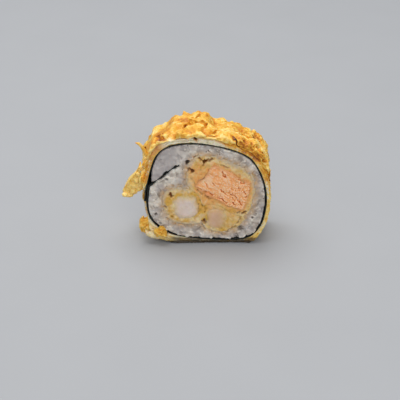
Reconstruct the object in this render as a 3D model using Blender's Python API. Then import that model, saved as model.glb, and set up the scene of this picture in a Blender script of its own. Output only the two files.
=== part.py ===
"""One cut slice of a deep-fried spider roll, standing on the flattened underside of its crust.

Metres, +Z up. The roll's axis runs along Y, with the cut face that shows the fillings towards -Y,
and the origin lies on the underside, below the middle of the roll and half way along the slice.
Outlines are drawn in the plane of the cut face, as (x, z) pairs, anticlockwise seen from the front.
"""

import math

import bmesh
import bpy
from mathutils import Euler, Matrix, Vector, noise

MM = 0.001

SLICE_LENGTH = 18.0 * MM
GAP = 0.3 * MM
CUTTER_OVERSHOOT = 0.12

# Corners of the roll inside its crust, from the left of its widest height and anticlockwise.
RING = [
    (-23.1, 19.0), (-22.2, 11.2), (-17.4, 5.6), (-8.0, 2.2), (5.0, 1.2), (16.8, 1.6), (21.5, 7.4),
    (23.4, 18.5), (21.5, 28.2), (16.7, 36.6), (4.8, 40.8), (-6.6, 42.1), (-16.9, 39.8), (-20.4, 31.4),
]
RING_CENTRE = Vector((0.0, 21.0 * MM))

# The seaweed is one sheet: its inner edge starts in the rice as a tail and the outer edge overlaps it.
NORI_THICKNESS = 0.5 * MM
NORI_LAP_INSET = NORI_THICKNESS + GAP
NORI_LAP_DOWN = 6.0 * MM
NORI_LAP_FADE = 20.0 * MM
NORI_STEP = 1.5 * MM
RICE_WEDGE_UP = 6.0 * MM
NORI_TAIL = [(-9.6, 32.6), (-12.4, 31.0), (-14.5, 29.4), (-16.3, 27.6), (-18.2, 26.3), (-20.0, 24.8)]
NORI_TAIL_STEPS = 3

# Crust thickness over the seaweed, by direction from the ring's centre, in degrees from +X.
CRUST_THICKNESS = {
    0: 1.4, 30: 3.6, 50: 4.6, 75: 4.0, 95: 3.8, 115: 3.8, 135: 3.4, 155: 2.6,
    180: 1.2, 205: 1.5, 225: 3.4, 250: 2.6, 270: 2.4, 290: 2.4, 315: 2.4, 340: 1.6,
}
CRUST_AROUND = 108
CRUST_ROWS = 10
CRUST_ROUGH = 1.3 * MM
CRUST_SMOOTH = 0.25 * MM
CRUST_ROUGH_FROM_Z = 20.0 * MM
CRUST_ROUGH_FULL_Z = 34.0 * MM
CRUST_LUMP_SIZE = 4.5 * MM
CRUST_LEAST = 0.5 * MM
CRUST_EDGE_BITE = 0.8 * MM
# Big lumps on the crust: direction in degrees, place along Y, height and spread.
CRUST_KNOBS = [
    (93, 4.5 * MM, 2.6 * MM, 3.0 * MM),
    (113, -3.0 * MM, 1.2 * MM, 3.5 * MM),
    (62, 1.5 * MM, 1.5 * MM, 3.2 * MM),
    (42, -5.5 * MM, 1.6 * MM, 2.8 * MM),
    (27, 3.5 * MM, 1.2 * MM, 3.0 * MM),
]

# Corners of the fillings, and of the batter that each was fried in.
SALMON = [
    (3.4, 33.6), (-4.6, 27.4), (-3.6, 22.8), (1.8, 18.8), (9.2, 14.4), (14.8, 13.4), (17.2, 26.8), (11.6, 28.9),
]
SALMON_BATTER = [
    (2.6, 36.6), (-3.8, 37.0), (-7.6, 30.4), (-6.6, 23.8), (-2.0, 20.4), (-0.8, 15.2), (5.0, 16.8),
    (9.4, 12.5), (16.6, 10.6), (19.2, 27.4), (12.8, 32.2),
]
LEG_LEFT = [(-11.6, 11.2), (-2.8, 11.0), (-2.8, 20.4), (-11.2, 21.2)]
LEG_LEFT_BATTER = [
    (-13.8, 9.2), (-7.0, 8.2), (-0.7, 8.4), (-0.9, 14.6), (-2.1, 19.6), (-6.6, 23.4), (-14.8, 23.8), (-16.2, 16.6),
]
LEG_RIGHT = [(0.4, 7.0), (7.7, 6.8), (7.7, 13.4), (1.2, 15.0)]
LEG_RIGHT_BATTER = [(-1.8, 16.6), (-1.4, 7.2), (3.0, 4.8), (9.8, 4.8), (16.4, 11.2), (9.8, 11.9), (5.2, 16.2)]
ROUNDING_TIMES = 3
ROUNDING_SHARE = 0.25
# The fillings have turned and shifted a little by the time they reach the far cut face.
FAR_END_TURN = math.radians(5.0)
FAR_END_SHIFT = Vector((0.8, -0.3)) * MM

# Loose and hanging bits of crust: centre, half sizes, turn in degrees, how rough, and how much wider below.
FLAKE_LEFT = ((-27.2, -3.6, 25.6), (2.9, 1.9, 7.4), (0, 25, 0), 1.1, 0.35)
CLUMP_BOTTOM_LEFT = ((-23.6, -7.2, 7.2), (2.0, 2.2, 3.6), (0, -8, 0), 1.0, 0.0)
CRUMB_FRONT = ((-16.8, -10.7, 5.3), (2.3, 1.4, 2.0), (0, -12, 0), 0.9, 0.2)
LUMP_DETAIL = 3
LUMP_GRAIN = 2.2 * MM

SHARP_EDGE = math.radians(40)


def finish(name, srgb_hex, roughness):
    """A plain moist or fried food surface of one colour."""
    material = bpy.data.materials.new(name)
    material.use_nodes = True
    channels = [int(srgb_hex[start:start + 2], 16) / 255 for start in (0, 2, 4)]
    linear = [c / 12.92 if c <= 0.04045 else ((c + 0.055) / 1.055) ** 2.4 for c in channels]
    shader = material.node_tree.nodes["Principled BSDF"]
    shader.inputs["Base Color"].default_value = (*linear, 1.0)
    shader.inputs["Roughness"].default_value = roughness
    shader.inputs["Metallic"].default_value = 0.0
    return material


def smooth_step(value, low, high):
    """0 below low, 1 above high, and a smooth rise between them."""
    share = min(max((value - low) / (high - low), 0.0), 1.0)
    return share * share * (3.0 - 2.0 * share)


def perimeter(outline):
    """Length of a closed outline."""
    return sum((outline[i] - outline[i - 1]).length for i in range(len(outline)))


def along(outline, distance):
    """(point, inward direction) at a distance along a closed anticlockwise outline."""
    distance %= perimeter(outline)
    for i, start in enumerate(outline):
        end = outline[(i + 1) % len(outline)]
        step = end - start
        if distance <= step.length:
            return start + step * (distance / step.length), Vector((-step.y, step.x)).normalized()
        distance -= step.length
    return outline[0], Vector((1.0, 0.0))


def offset_path(path, distance, closed=False):
    """The path moved sideways to its left by a distance."""
    moved = []
    last = len(path) - 1
    for i, point in enumerate(path):
        before = path[i - 1] if closed or i else point
        after = path[(i + 1) % len(path)] if closed or i < last else point
        run = (after - before).normalized()
        moved.append(point + Vector((-run.y, run.x)) * distance)
    return moved


def spline(points, steps):
    """A smooth open curve through the points, with that many steps to each span."""
    curve = []
    for i in range(len(points) - 1):
        start, end = points[i], points[i + 1]
        before = points[max(i - 1, 0)]
        after = points[min(i + 2, len(points) - 1)]
        for step in range(steps):
            t = step / steps
            curve.append(
                0.5 * (2.0 * start + (end - before) * t
                       + (2.0 * before - 5.0 * start + 4.0 * end - after) * t * t
                       + (3.0 * start - before - 3.0 * end + after) * t * t * t)
            )
    return curve + [points[-1]]


def rounded(corners):
    """A blob outline from a few corners in millimetres, each corner cut off a few times over."""
    points = [Vector(corner) * MM for corner in corners]
    for _ in range(ROUNDING_TIMES):
        cut = []
        for i, point in enumerate(points):
            cut.append(point.lerp(points[i - 1], ROUNDING_SHARE))
            cut.append(point.lerp(points[(i + 1) % len(points)], ROUNDING_SHARE))
        points = cut
    return points


def wandered(outline):
    """A filling's outline as it is at the far cut face."""
    turn = Matrix.Rotation(FAR_END_TURN, 2)
    return [RING_CENTRE + turn @ (point - RING_CENTRE) + FAR_END_SHIFT for point in outline]


def add_object(name, shape, material):
    """Turns a finished shape into a named object, smooth but for its sharp edges."""
    mesh = bpy.data.meshes.new(name)
    shape.to_mesh(mesh)
    shape.free()
    thing = bpy.data.objects.new(name, mesh)
    bpy.context.scene.collection.objects.link(thing)
    if material:
        mesh.materials.append(material)
    mesh.set_sharp_from_angle(angle=SHARP_EDGE)
    return thing


def through_piece(name, front, back, material, overshoot=0.0):
    """A solid that runs the length of the slice, from one outline at the front to another at the back."""
    shape = bmesh.new()
    ends = []
    for share in (-overshoot, 1.0 + overshoot):
        y = (share - 0.5) * SLICE_LENGTH
        places = [near.lerp(far, share) for near, far in zip(front, back)]
        ends.append([shape.verts.new((place.x, y, place.y)) for place in places])
    count = len(front)
    for i in range(count):
        j = (i + 1) % count
        shape.faces.new((ends[0][i], ends[0][j], ends[1][j], ends[1][i]))
    shape.faces.new(reversed(ends[0]))
    shape.faces.new(ends[1])
    bmesh.ops.recalc_face_normals(shape, faces=shape.faces)
    return add_object(name, shape, material)


def combine(thing, operation, helper):
    """Adds a hidden helper's shape to a piece, or takes it away."""
    helper.hide_render = True
    helper.display_type = "WIRE"
    change = thing.modifiers.new(operation.lower(), "BOOLEAN")
    change.operation = operation
    change.solver = "EXACT"
    change.object = helper


def cut(thing, corners):
    """Cuts a channel through a piece for the filling with those corners, with a gap all round it."""
    wide = offset_path(rounded(corners), -GAP, closed=True)
    helper = through_piece("channel_in_" + thing.name, wide, wandered(wide), None, CUTTER_OVERSHOOT)
    combine(thing, "DIFFERENCE", helper)


def nori_path(outline):
    """(middle line of the seaweed sheet, points in its tail): the tail, once round, and the outer lap."""
    length = perimeter(outline)
    ring = []
    for step in range(round((length + NORI_LAP_DOWN) / NORI_STEP) + 1):
        distance = step * NORI_STEP
        point, inward = along(outline, distance)
        lap = 1.0 - smooth_step(distance, NORI_LAP_DOWN, NORI_LAP_DOWN + NORI_LAP_FADE)
        ring.append(point + inward * (NORI_THICKNESS / 2 + NORI_LAP_INSET * lap))
    tail = [Vector(point) * MM for point in NORI_TAIL]
    entry = spline(tail + ring[:2], NORI_TAIL_STEPS)
    return entry + ring[2:], len(tail) * NORI_TAIL_STEPS


def make_nori(outline):
    """The seaweed sheet, wound once round with its tail inside."""
    path, _ = nori_path(outline)
    sides = offset_path(path, NORI_THICKNESS / 2) + offset_path(path, -NORI_THICKNESS / 2)[::-1]
    return through_piece("nori", sides, sides, finish("nori_green_black", "20221f", 0.5))


def make_rice(outline):
    """The rice: all that the seaweed holds, wrapped round its tail, less the fried fillings."""
    path, tail_count = nori_path(outline)
    clear = NORI_THICKNESS / 2 + GAP
    past_wedge = round((RICE_WEDGE_UP + NORI_LAP_DOWN) / NORI_STEP)
    inside = offset_path(path, clear)[:-past_wedge]
    behind_tail = offset_path(path, -clear)[:tail_count - NORI_TAIL_STEPS]
    sides = inside + behind_tail[::-1]
    rice = through_piece("rice", sides, sides, finish("sushi_rice", "bdb5b0", 0.4))
    for corners in (SALMON_BATTER, LEG_LEFT_BATTER, LEG_RIGHT_BATTER):
        cut(rice, corners)


def make_filling(name, corners, material):
    """A filling, or the batter of one, from cut face to cut face."""
    outline = rounded(corners)
    return through_piece(name, outline, wandered(outline), material)


def crust_thickness(angle_deg):
    """Thickness of the crust in a direction, smoothly between the named ones."""
    names = sorted(CRUST_THICKNESS)
    for low, high in zip(names, names[1:] + [names[0] + 360]):
        if low <= angle_deg < high:
            share = smooth_step(angle_deg, low, high)
            near = CRUST_THICKNESS[low]
            return (near + (CRUST_THICKNESS[high % 360] - near) * share) * MM
    return CRUST_THICKNESS[names[0]] * MM


def crust_height(point, y):
    """How far the fried surface stands out from the seaweed at a point of its outline."""
    direction = point - RING_CENTRE
    angle_deg = math.degrees(math.atan2(direction.y, direction.x)) % 360
    rough = smooth_step(point.y, CRUST_ROUGH_FROM_Z, CRUST_ROUGH_FULL_Z)
    grain = noise.noise(Vector((point.x, y, point.y)) / CRUST_LUMP_SIZE)
    height = crust_thickness(angle_deg) + grain * (CRUST_SMOOTH + (CRUST_ROUGH - CRUST_SMOOTH) * rough)
    for knob_deg, knob_y, knob_height, spread in CRUST_KNOBS:
        aside = math.radians(angle_deg - knob_deg) * direction.length
        height += knob_height * math.exp(-(aside ** 2 + (y - knob_y) ** 2) / spread ** 2)
    return max(height, CRUST_LEAST)


def crust_sleeve(name, outline, clearance, material):
    """A lumpy sleeve round the seaweed, flattened below, and grown by a clearance on its fried side."""
    length = perimeter(outline)
    marks = [along(outline, length * i / CRUST_AROUND) for i in range(CRUST_AROUND)]
    half = SLICE_LENGTH / 2 + clearance
    shape = bmesh.new()

    def ring(y, share, bite):
        corners = []
        for point, inward in marks:
            height = crust_height(point, y) + clearance
            spot = point - inward * (GAP + height * share)
            uneven = bite * noise.noise(Vector((point.x, y, point.y)) / CRUST_LUMP_SIZE)
            corners.append(shape.verts.new((spot.x, y + math.copysign(uneven, y), max(spot.y, -clearance))))
        return corners

    rings = [ring(-half, 0.0, 0.0), ring(-half, 0.5, CRUST_EDGE_BITE)]
    rings += [ring(-half + 2 * half * row / CRUST_ROWS, 1.0, 0.0) for row in range(CRUST_ROWS + 1)]
    rings += [ring(half, 0.5, CRUST_EDGE_BITE), ring(half, 0.0, 0.0)]
    for here, following in zip(rings, rings[1:] + rings[:1]):
        for i in range(CRUST_AROUND):
            j = (i + 1) % CRUST_AROUND
            shape.faces.new((here[i], here[j], following[j], following[i]))
    bmesh.ops.recalc_face_normals(shape, faces=shape.faces)
    return add_object(name, shape, material)


def make_lump(name, place, crust_space, material):
    """A craggy bit of batter that fell or hangs off the crust, and stays clear of it."""
    centre, halves, turn_deg, rough, wider_below = place
    shape = bmesh.new()
    bmesh.ops.create_icosphere(shape, subdivisions=LUMP_DETAIL, radius=1.0)
    turn = Euler([math.radians(angle) for angle in turn_deg])
    for vertex in shape.verts:
        outward = Vector(vertex.co)
        spot = Vector([share * half * MM for share, half in zip(vertex.co, halves)])
        spot.x *= 1.0 - wider_below * outward.z
        spot += outward * rough * MM * noise.noise((spot + Vector(centre) * MM) / LUMP_GRAIN)
        spot.rotate(turn)
        vertex.co = spot
    lump = add_object(name, shape, material)
    lump.location = Vector(centre) * MM
    combine(lump, "DIFFERENCE", crust_space)


def make_roll():
    """All the pieces of the slice."""
    outline = rounded(RING)
    batter = finish("tempura_batter", "d9b072", 0.5)
    crab = finish("crab_flesh", "cfc0b6", 0.35)
    flake = finish("fried_flake", "eaa83c", 0.6)

    crust_sleeve("crust", outline, 0.0, finish("fried_batter", "e2a84c", 0.6))
    make_nori(outline)
    make_rice(outline)

    salmon_batter = make_filling("salmon_batter", SALMON_BATTER, batter)
    for corners in (LEG_LEFT_BATTER, LEG_RIGHT_BATTER, SALMON):
        cut(salmon_batter, corners)
    make_filling("salmon", SALMON, finish("cooked_salmon", "e2997a", 0.45))

    crab_batter = make_filling("crab_batter", LEG_LEFT_BATTER, batter)
    combine(crab_batter, "UNION", make_filling("right_of_crab_batter", LEG_RIGHT_BATTER, None))
    for corners in (LEG_LEFT, LEG_RIGHT):
        cut(crab_batter, corners)
    make_filling("crab_leg_left", LEG_LEFT, crab)
    make_filling("crab_leg_right", LEG_RIGHT, crab)

    crust_space = crust_sleeve("crust_space", outline, GAP, None)
    make_lump("flake_left", FLAKE_LEFT, crust_space, flake)
    make_lump("clump_bottom_left", CLUMP_BOTTOM_LEFT, crust_space, flake)
    make_lump("crumb_front", CRUMB_FRONT, crust_space, flake)


for leftover in list(bpy.data.objects):
    bpy.data.objects.remove(leftover, do_unlink=True)
make_roll()
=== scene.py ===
"""Looks of one cut slice of a deep-fried spider roll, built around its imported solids.

Metres, +Z up. The roll's axis runs along Y and the cut face that shows best looks towards -Y.
Each filling, the seaweed, the rice and the fried crust replaces the plain solid of the same name:
the solid's own outline is read from the frame, and the food's surface is grown on it.
"""

from __future__ import annotations

import logging
import math
from collections.abc import Iterable
from dataclasses import dataclass, field
from enum import Enum
from typing import NamedTuple

import bmesh
import bpy
import numpy as np
from bpy.types import Material, Node, NodeSocket, NodeTree, Object
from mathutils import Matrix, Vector, kdtree, noise


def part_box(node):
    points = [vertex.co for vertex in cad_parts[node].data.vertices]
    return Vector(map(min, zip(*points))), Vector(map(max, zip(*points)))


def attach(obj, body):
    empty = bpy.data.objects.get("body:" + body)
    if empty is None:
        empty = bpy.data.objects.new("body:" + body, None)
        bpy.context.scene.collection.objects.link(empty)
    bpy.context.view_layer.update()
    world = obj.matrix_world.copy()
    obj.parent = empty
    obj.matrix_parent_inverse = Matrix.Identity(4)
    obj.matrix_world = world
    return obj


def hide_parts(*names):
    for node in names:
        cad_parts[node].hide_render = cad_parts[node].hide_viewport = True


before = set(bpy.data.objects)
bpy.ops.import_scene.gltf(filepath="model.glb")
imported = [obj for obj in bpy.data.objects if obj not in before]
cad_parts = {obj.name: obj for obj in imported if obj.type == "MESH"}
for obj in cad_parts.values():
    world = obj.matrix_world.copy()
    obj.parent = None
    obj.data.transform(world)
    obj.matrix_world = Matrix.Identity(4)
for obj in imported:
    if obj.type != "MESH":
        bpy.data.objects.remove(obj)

LOG = logging.getLogger("spider_roll")
MM = 0.001
WELD = 0.002 * MM
SHADER = "Principled BSDF"
MIX_FACTOR, MIX_A, MIX_B, MIX_RESULT = 0, 6, 7, 2
SECTION = np.array([1.0, 0.0, 1.0])  # a pattern of points times this runs straight through the roll

# What is given in millimetres: a spot (x, z) and a point (x, y, z), a mark (its spot or point, its
# radius and, where it has one, its amount), a crack (both ends, width, depth) and a leg's meat (x, z, half
# width, half height and how soft its edge is). A range runs from its first number to its second. A sector is
# a range of directions round the roll, in degrees from +X, with how far outside it the effect fades out, and
# a dent is a direction, how far round it the dent fades out, 1 for the back or -1 for the front, and a depth.
Array = np.ndarray
Spot = tuple[float, float]
Point = tuple[float, float, float]
Mark = tuple[float, ...]
Crack = tuple[Spot, Spot, float, float]
Dent = tuple[float, float, float, float]
Heart = tuple[float, float, float, float, float]
Range = tuple[float, float]
Sector = tuple[Range, float]
Levels = dict[str, NodeSocket]


class Side(Enum):
    """The two cut faces of the slice, by the sign of their Y."""

    FRONT = -1
    BACK = 1


# ---------------------------------------------------------------- small tools


def linear(srgb_hex: str) -> tuple[float, float, float, float]:
    """Turns an sRGB colour into the linear one that a shader takes.

    Args:
        srgb_hex: six hex digits.

    Returns:
        Linear red, green, blue and an alpha of 1.
    """
    channels = [int(srgb_hex[start:start + 2], 16) / 255 for start in (0, 2, 4)]
    return (*[c / 12.92 if c <= 0.04045 else ((c + 0.055) / 1.055) ** 2.4 for c in channels], 1.0)


def smooth_step(value: Array, low: float, high: float) -> Array:
    """Rises smoothly from 0 at low to 1 at high.

    Args:
        value: the numbers to map.
        low: where the rise starts.
        high: where it ends; it may lie under low for a fall.

    Returns:
        The mapped numbers, from 0 to 1.
    """
    share = np.clip((value - low) / (high - low), 0.0, 1.0)
    return share * share * (3.0 - 2.0 * share)


def read(
    collection: bpy.types.bpy_prop_collection, name: str, width: int, kind: type = np.float32,
) -> Array:
    """Reads one property of every item of a Blender collection.

    Args:
        collection: such as a mesh's vertices.
        name: the property.
        width: how many numbers it has.
        kind: the numbers' type in Blender.

    Returns:
        One row for each item; floats come back in double precision.
    """
    flat = np.empty(len(collection) * width, kind)
    collection.foreach_get(name, flat)
    rows = flat.reshape(-1, width)
    return rows.astype(np.float64) if kind is np.float32 else rows


def rough(points: Array, size: float, octaves: int, seed: int) -> Array:
    """Fractal noise at points of space.

    Args:
        points: one point to a row.
        size: the width of the largest lumps.
        octaves: how many finer layers are added.
        seed: moves the pattern.

    Returns:
        About -1 to 1 for each point.
    """
    spots = (points / size + np.array([17.3, -5.1, 8.7]) * (seed + 1)).tolist()
    return np.array([noise.fractal(spot, 0.6, 2.1, octaves) for spot in spots])


def folds(points: Array, size: float, octaves: int, seed: int) -> Array:
    """Rounded lumps with creases between them, bent out of line so that they look like folded batter.

    Args:
        points: one point to a row.
        size: the width of the largest lumps.
        octaves: how many finer layers are added.
        seed: moves the pattern.

    Returns:
        0 in a crease, up to about 1 on a lump.
    """
    bend = np.stack([rough(points, 1.3 * size, 1, seed + 100 * k) for k in (1, 2, 3)], axis=1)
    return np.clip(2.2 * np.abs(rough(points + 0.55 * size * bend, size, octaves, seed)), 0.0, 1.3)


def cells(points: Array, size: float, seed: int) -> Array:
    """Cell noise: 0 in the middle of a cell, and up to about 1 at its edges.

    Args:
        points: one point to a row.
        size: the width of a cell.
        seed: moves the pattern.

    Returns:
        The distance to the nearest cell's centre over the distance to the second.
    """
    spots = (points / size + np.array([3.7, 11.9, -6.3]) * (seed + 1)).tolist()
    found = [noise.voronoi(spot)[0] for spot in spots]
    return np.array([near[0] / max(near[1], 1e-9) for near in found])


def mesh_object(name: str, points: Array, faces: list) -> Object:
    """Makes a smooth-shaded mesh object.

    Args:
        name: the object's name.
        points: its vertices.
        faces: vertex indices of each face.

    Returns:
        The object, linked to the scene.
    """
    mesh = bpy.data.meshes.new(name)
    mesh.from_pydata(np.asarray(points).tolist(), [], faces)
    mesh.update()
    mesh.shade_smooth()
    made = bpy.data.objects.new(name, mesh)
    bpy.context.scene.collection.objects.link(made)
    return made


def bake_modifier(target: Object, kind: str, **settings: object) -> None:
    """Adds a modifier, keeps its result as the object's mesh and drops it.

    Args:
        target: the object.
        kind: the modifier's type.
        settings: its properties.
    """
    modifier = target.modifiers.new(kind.title(), kind)
    for name, value in settings.items():
        setattr(modifier, name, value)
    graph = bpy.context.evaluated_depsgraph_get()
    result = bpy.data.meshes.new_from_object(target.evaluated_get(graph))
    target.modifiers.clear()
    spent = target.data
    target.data = result
    bpy.data.meshes.remove(spent)
    target.data.shade_smooth()


def fuse(target: Object, voxel: float) -> None:
    """Fuses a mesh's overlapping closed shapes into one skin of small even faces."""
    bake_modifier(target, "REMESH", mode="VOXEL", voxel_size=voxel)


def thin_out(target: Object, most_triangles: int) -> None:
    """Brings a mesh under a number of triangles, keeping its shape.

    Args:
        target: the object.
        most_triangles: its triangles are fewer than this afterwards.
    """
    target.data.calc_loop_triangles()
    now = len(target.data.loop_triangles)
    if now > most_triangles:
        bake_modifier(target, "DECIMATE", ratio=0.99 * most_triangles / now, use_collapse_triangulate=True)


def node_copy(node: str, name: str) -> Object:
    """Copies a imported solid's mesh as one welded skin.

    Args:
        node: the solid's name in the frame.
        name: the copy's name.

    Returns:
        The copy, linked to the scene.
    """
    work = bmesh.new()
    work.from_mesh(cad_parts[node].data)
    bmesh.ops.remove_doubles(work, verts=work.verts, dist=WELD)
    mesh = bpy.data.meshes.new(name)
    work.to_mesh(mesh)
    work.free()
    mesh.materials.clear()
    made = bpy.data.objects.new(name, mesh)
    bpy.context.scene.collection.objects.link(made)
    return made


def cut_loops(node: str, side: Side) -> list[Array]:
    """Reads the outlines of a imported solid's flat cut face.

    Args:
        node: the solid's name.
        side: which cut face.

    Returns:
        Closed outlines, as rows of (x, z), holes among them.
    """
    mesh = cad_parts[node].data
    mesh.calc_loop_triangles()
    keys, index = np.unique(np.round(read(mesh.vertices, "co", 3) / WELD), axis=0, return_inverse=True)
    spots = keys * WELD
    corners = index.reshape(-1)[read(mesh.loop_triangles, "vertices", 3, np.int32)]
    reach = side.value * spots[:, 1]
    flat = (reach[corners] > reach.max() - 5 * WELD).all(axis=1)
    steps = {(int(t[k]), int(t[(k + 1) % 3])) for t in corners[flat] for k in range(3)}
    after = {start: end for start, end in steps if (end, start) not in steps and start != end}
    loops = []
    while after:
        start, current = after.popitem()
        chain = [start]
        while current != start:
            chain.append(current)
            current = after.pop(current)
        loops.append(spots[chain][:, [0, 2]])
    return loops


def is_inside(spots: Array, loops: list[Array]) -> Array:
    """Tells which spots lie inside outlines and outside their holes.

    Args:
        spots: rows of (x, z).
        loops: closed outlines.

    Returns:
        One True or False for each spot.
    """
    x, z = spots[:, 0], spots[:, 1]
    odd = np.zeros(len(spots), bool)
    for loop in loops:
        for (x0, z0), (x1, z1) in zip(loop, np.roll(loop, -1, axis=0)):
            if z0 != z1:
                crosses = (z0 > z) != (z1 > z)
                odd ^= crosses & (x < (x1 - x0) * (z - z0) / (z1 - z0) + x0)
    return odd


def nearest_on(spots: Array, loops: list[Array]) -> tuple[Array, Array]:
    """Finds the nearest point of closed outlines for each spot.

    Args:
        spots: rows of (x, z).
        loops: closed outlines.

    Returns:
        The nearest points and the distances to them, in metres.
    """
    least = np.full(len(spots), np.inf)
    found = np.array(spots, float)
    for loop in loops:
        for start, end in zip(loop, np.roll(loop, -1, axis=0)):
            run = end - start
            length = max(float(run @ run), 1e-18)
            share = np.clip((spots - start) @ run / length, 0.0, 1.0)
            place = start + share[:, None] * run
            square = np.einsum("ij,ij->i", spots - place, spots - place)
            closer = square < least
            least = np.where(closer, square, least)
            found[closer] = place[closer]
    return found, np.sqrt(least)


def distance_to(spots: Array, loops: list[Array]) -> Array:
    """Distance in metres from each spot to the nearest point of closed outlines."""
    return nearest_on(spots, loops)[1]


def pulled_in(points: Array, outline: tuple[Spot, ...], share: Array) -> Array:
    """Draws points that stick out of an outline back towards it.

    Args:
        points: rows of (x, y, z).
        outline: corners (x, z) of a closed outline, in millimetres.
        share: how much of the way each point goes, 0 to 1.

    Returns:
        The moved points.
    """
    loop = np.array(outline) * MM
    spots = points[:, [0, 2]]
    out = ~is_inside(spots, [loop])
    moved = points.copy()
    moved[:, [0, 2]] += (share * out)[:, None] * (nearest_on(spots, [loop])[0] - spots)
    return moved


def nearest_index(places: Array, points: Array) -> Array:
    """Finds the place that is nearest to each point.

    Args:
        places: rows of (x, y, z).
        points: rows of (x, y, z).

    Returns:
        The number of a place for each point.
    """
    tree = kdtree.KDTree(len(places))
    for index, place in enumerate(places.tolist()):
        tree.insert(place, index)
    tree.balance()
    return np.array([tree.find(point)[1] for point in points.tolist()])


def block(low: Point, high: Point) -> Object:
    """Makes a box.

    Args:
        low: its lowest corner, in metres.
        high: its highest corner.

    Returns:
        The box, linked to the scene.
    """
    work = bmesh.new()
    bmesh.ops.create_cube(work, size=1.0)
    points = np.array([vertex.co[:] for vertex in work.verts])
    faces = [[vertex.index for vertex in face.verts] for face in work.faces]
    work.free()
    return mesh_object("block", np.array(low) + (points + 0.5) * (np.array(high) - np.array(low)), faces)


def heart_share(points: Array, heart: Heart) -> Array:
    """1 in the middle of a leg's clear meat and 0 in the batter round it, with an uneven, soft edge.

    Args:
        points: rows of (x, y, z).
        heart: the meat's middle, half width, half height and how soft its edge is.

    Returns:
        One share for each point.
    """
    x, z, wide, high, soft = heart
    squareness = 3.4
    across, up = np.abs(points[:, 0] / MM - x) / wide, np.abs(points[:, 2] / MM - z) / high
    far = (across ** squareness + up ** squareness) ** (1 / squareness)
    uneven = 0.16 * rough(points * [1, 0.3, 1], 2.4 * MM, 2, 35)
    notch = marks(points[:, [0, 2]], ((x + 0.2, z + 1.15 * high, 1.0, 0.3),), 1.7, 0.3)
    return 1.0 - smooth_step(far + uneven + notch, 1.0 - soft, 1.0 + 0.6 * soft)


def segment_distance(spots: Array, start: Spot, end: Spot) -> Array:
    """Distance from each spot to one straight stretch.

    Args:
        spots: rows of (x, z) in metres.
        start: one end, in millimetres.
        end: the other end, in millimetres.

    Returns:
        Distances in metres.
    """
    first, last = np.array(start) * MM, np.array(end) * MM
    run = last - first
    share = np.clip((spots - first) @ run / max(float(run @ run), 1e-18), 0.0, 1.0)
    return np.linalg.norm(spots - first - share[:, None] * run, axis=1)


def marks(
    spots: Array, places: Iterable[Mark], outer: float, inner: float, join: np.ufunc = np.maximum,
    extra: Array | float = 0.0,
) -> Array:
    """How strongly round marks show at spots.

    Args:
        spots: rows of (x, z) or of (x, y, z), in metres.
        places: the marks, in millimetres.
        outer: how many radii from its middle a mark ends.
        inner: how many radii from its middle it starts to lose strength.
        join: what becomes of marks that overlap.
        extra: added to the distances, in millimetres.

    Returns:
        One amount for each spot.
    """
    total = np.zeros(len(spots))
    for *middle, radius, amount in places:
        far = np.linalg.norm(spots / MM - middle, axis=1) + extra
        total = join(total, amount * smooth_step(far, outer * radius, inner * radius))
    return total


def crack_depth(
    spots: Array, cracks: Iterable[Crack], outer: float, inner: float, join: np.ufunc = np.add,
) -> Array:
    """How deep straight cracks are at spots.

    Args:
        spots: rows of (x, z), in metres.
        cracks: the cracks, in millimetres.
        outer: how many widths from its line a crack ends.
        inner: how many widths from its line it is deepest.
        join: what becomes of cracks that cross.

    Returns:
        Metres for each spot.
    """
    total = np.zeros(len(spots))
    for start, end, width, depth in cracks:
        far = segment_distance(spots, start, end) / MM
        total = join(total, depth * MM * smooth_step(far, outer * width, inner * width))
    return total


def levelled(height: Array, soft: float) -> Array:
    """Presses heights over 0 down to 0, bending softly where they reach it."""
    return -soft * np.log1p(np.exp(np.clip(-height / soft, -60, 60)))


def warped(spots: Array, size: float, amount: float, seed: int) -> Array:
    """Shifts spots by slow noise, so that a drawn line comes out crooked.

    Args:
        spots: rows of (x, z).
        size: the width of the noise's lumps.
        amount: the largest shift.
        seed: moves the pattern.

    Returns:
        The shifted spots.
    """
    places = np.stack([spots[:, 0], np.zeros(len(spots)), spots[:, 1]], axis=1)
    shift = np.stack([rough(places, size, 2, seed), rough(places, size, 2, seed + 1)], axis=1)
    return spots + amount * shift


class Profile:
    """How far a ring of spots reaches from a middle, by direction."""

    def __init__(self, spots: Array, middle: Array) -> None:
        """Notes the farthest spot in each direction.

        Args:
            spots: rows of (x, z).
            middle: where the distances start.
        """
        angle, radius = self.polar(spots, middle)
        self.middle = middle
        self.angles = np.arange(0.0, 360.0, 3.0)
        away = np.abs((angle[None, :] - self.angles[:, None] + 180.0) % 360.0 - 180.0)
        self.radii = np.where(away < 2.5, radius[None, :], 0.0).max(axis=1)

    @staticmethod
    def polar(spots: Array, middle: Array) -> tuple[Array, Array]:
        """Direction in degrees and distance of each spot from a middle."""
        flat = spots - middle
        return np.degrees(np.arctan2(flat[:, 1], flat[:, 0])) % 360.0, np.linalg.norm(flat, axis=1)

    def at(self, angle: Array) -> Array:
        """Distance reached in directions given in degrees."""
        return np.interp(angle, self.angles, self.radii, period=360.0)


def densified(loop: Array, parts: int) -> Array:
    """Adds evenly spaced points between those of a closed outline."""
    after = np.roll(loop, -1, axis=0)
    return np.concatenate([loop + (after - loop) * share / parts for share in range(parts)])


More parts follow.
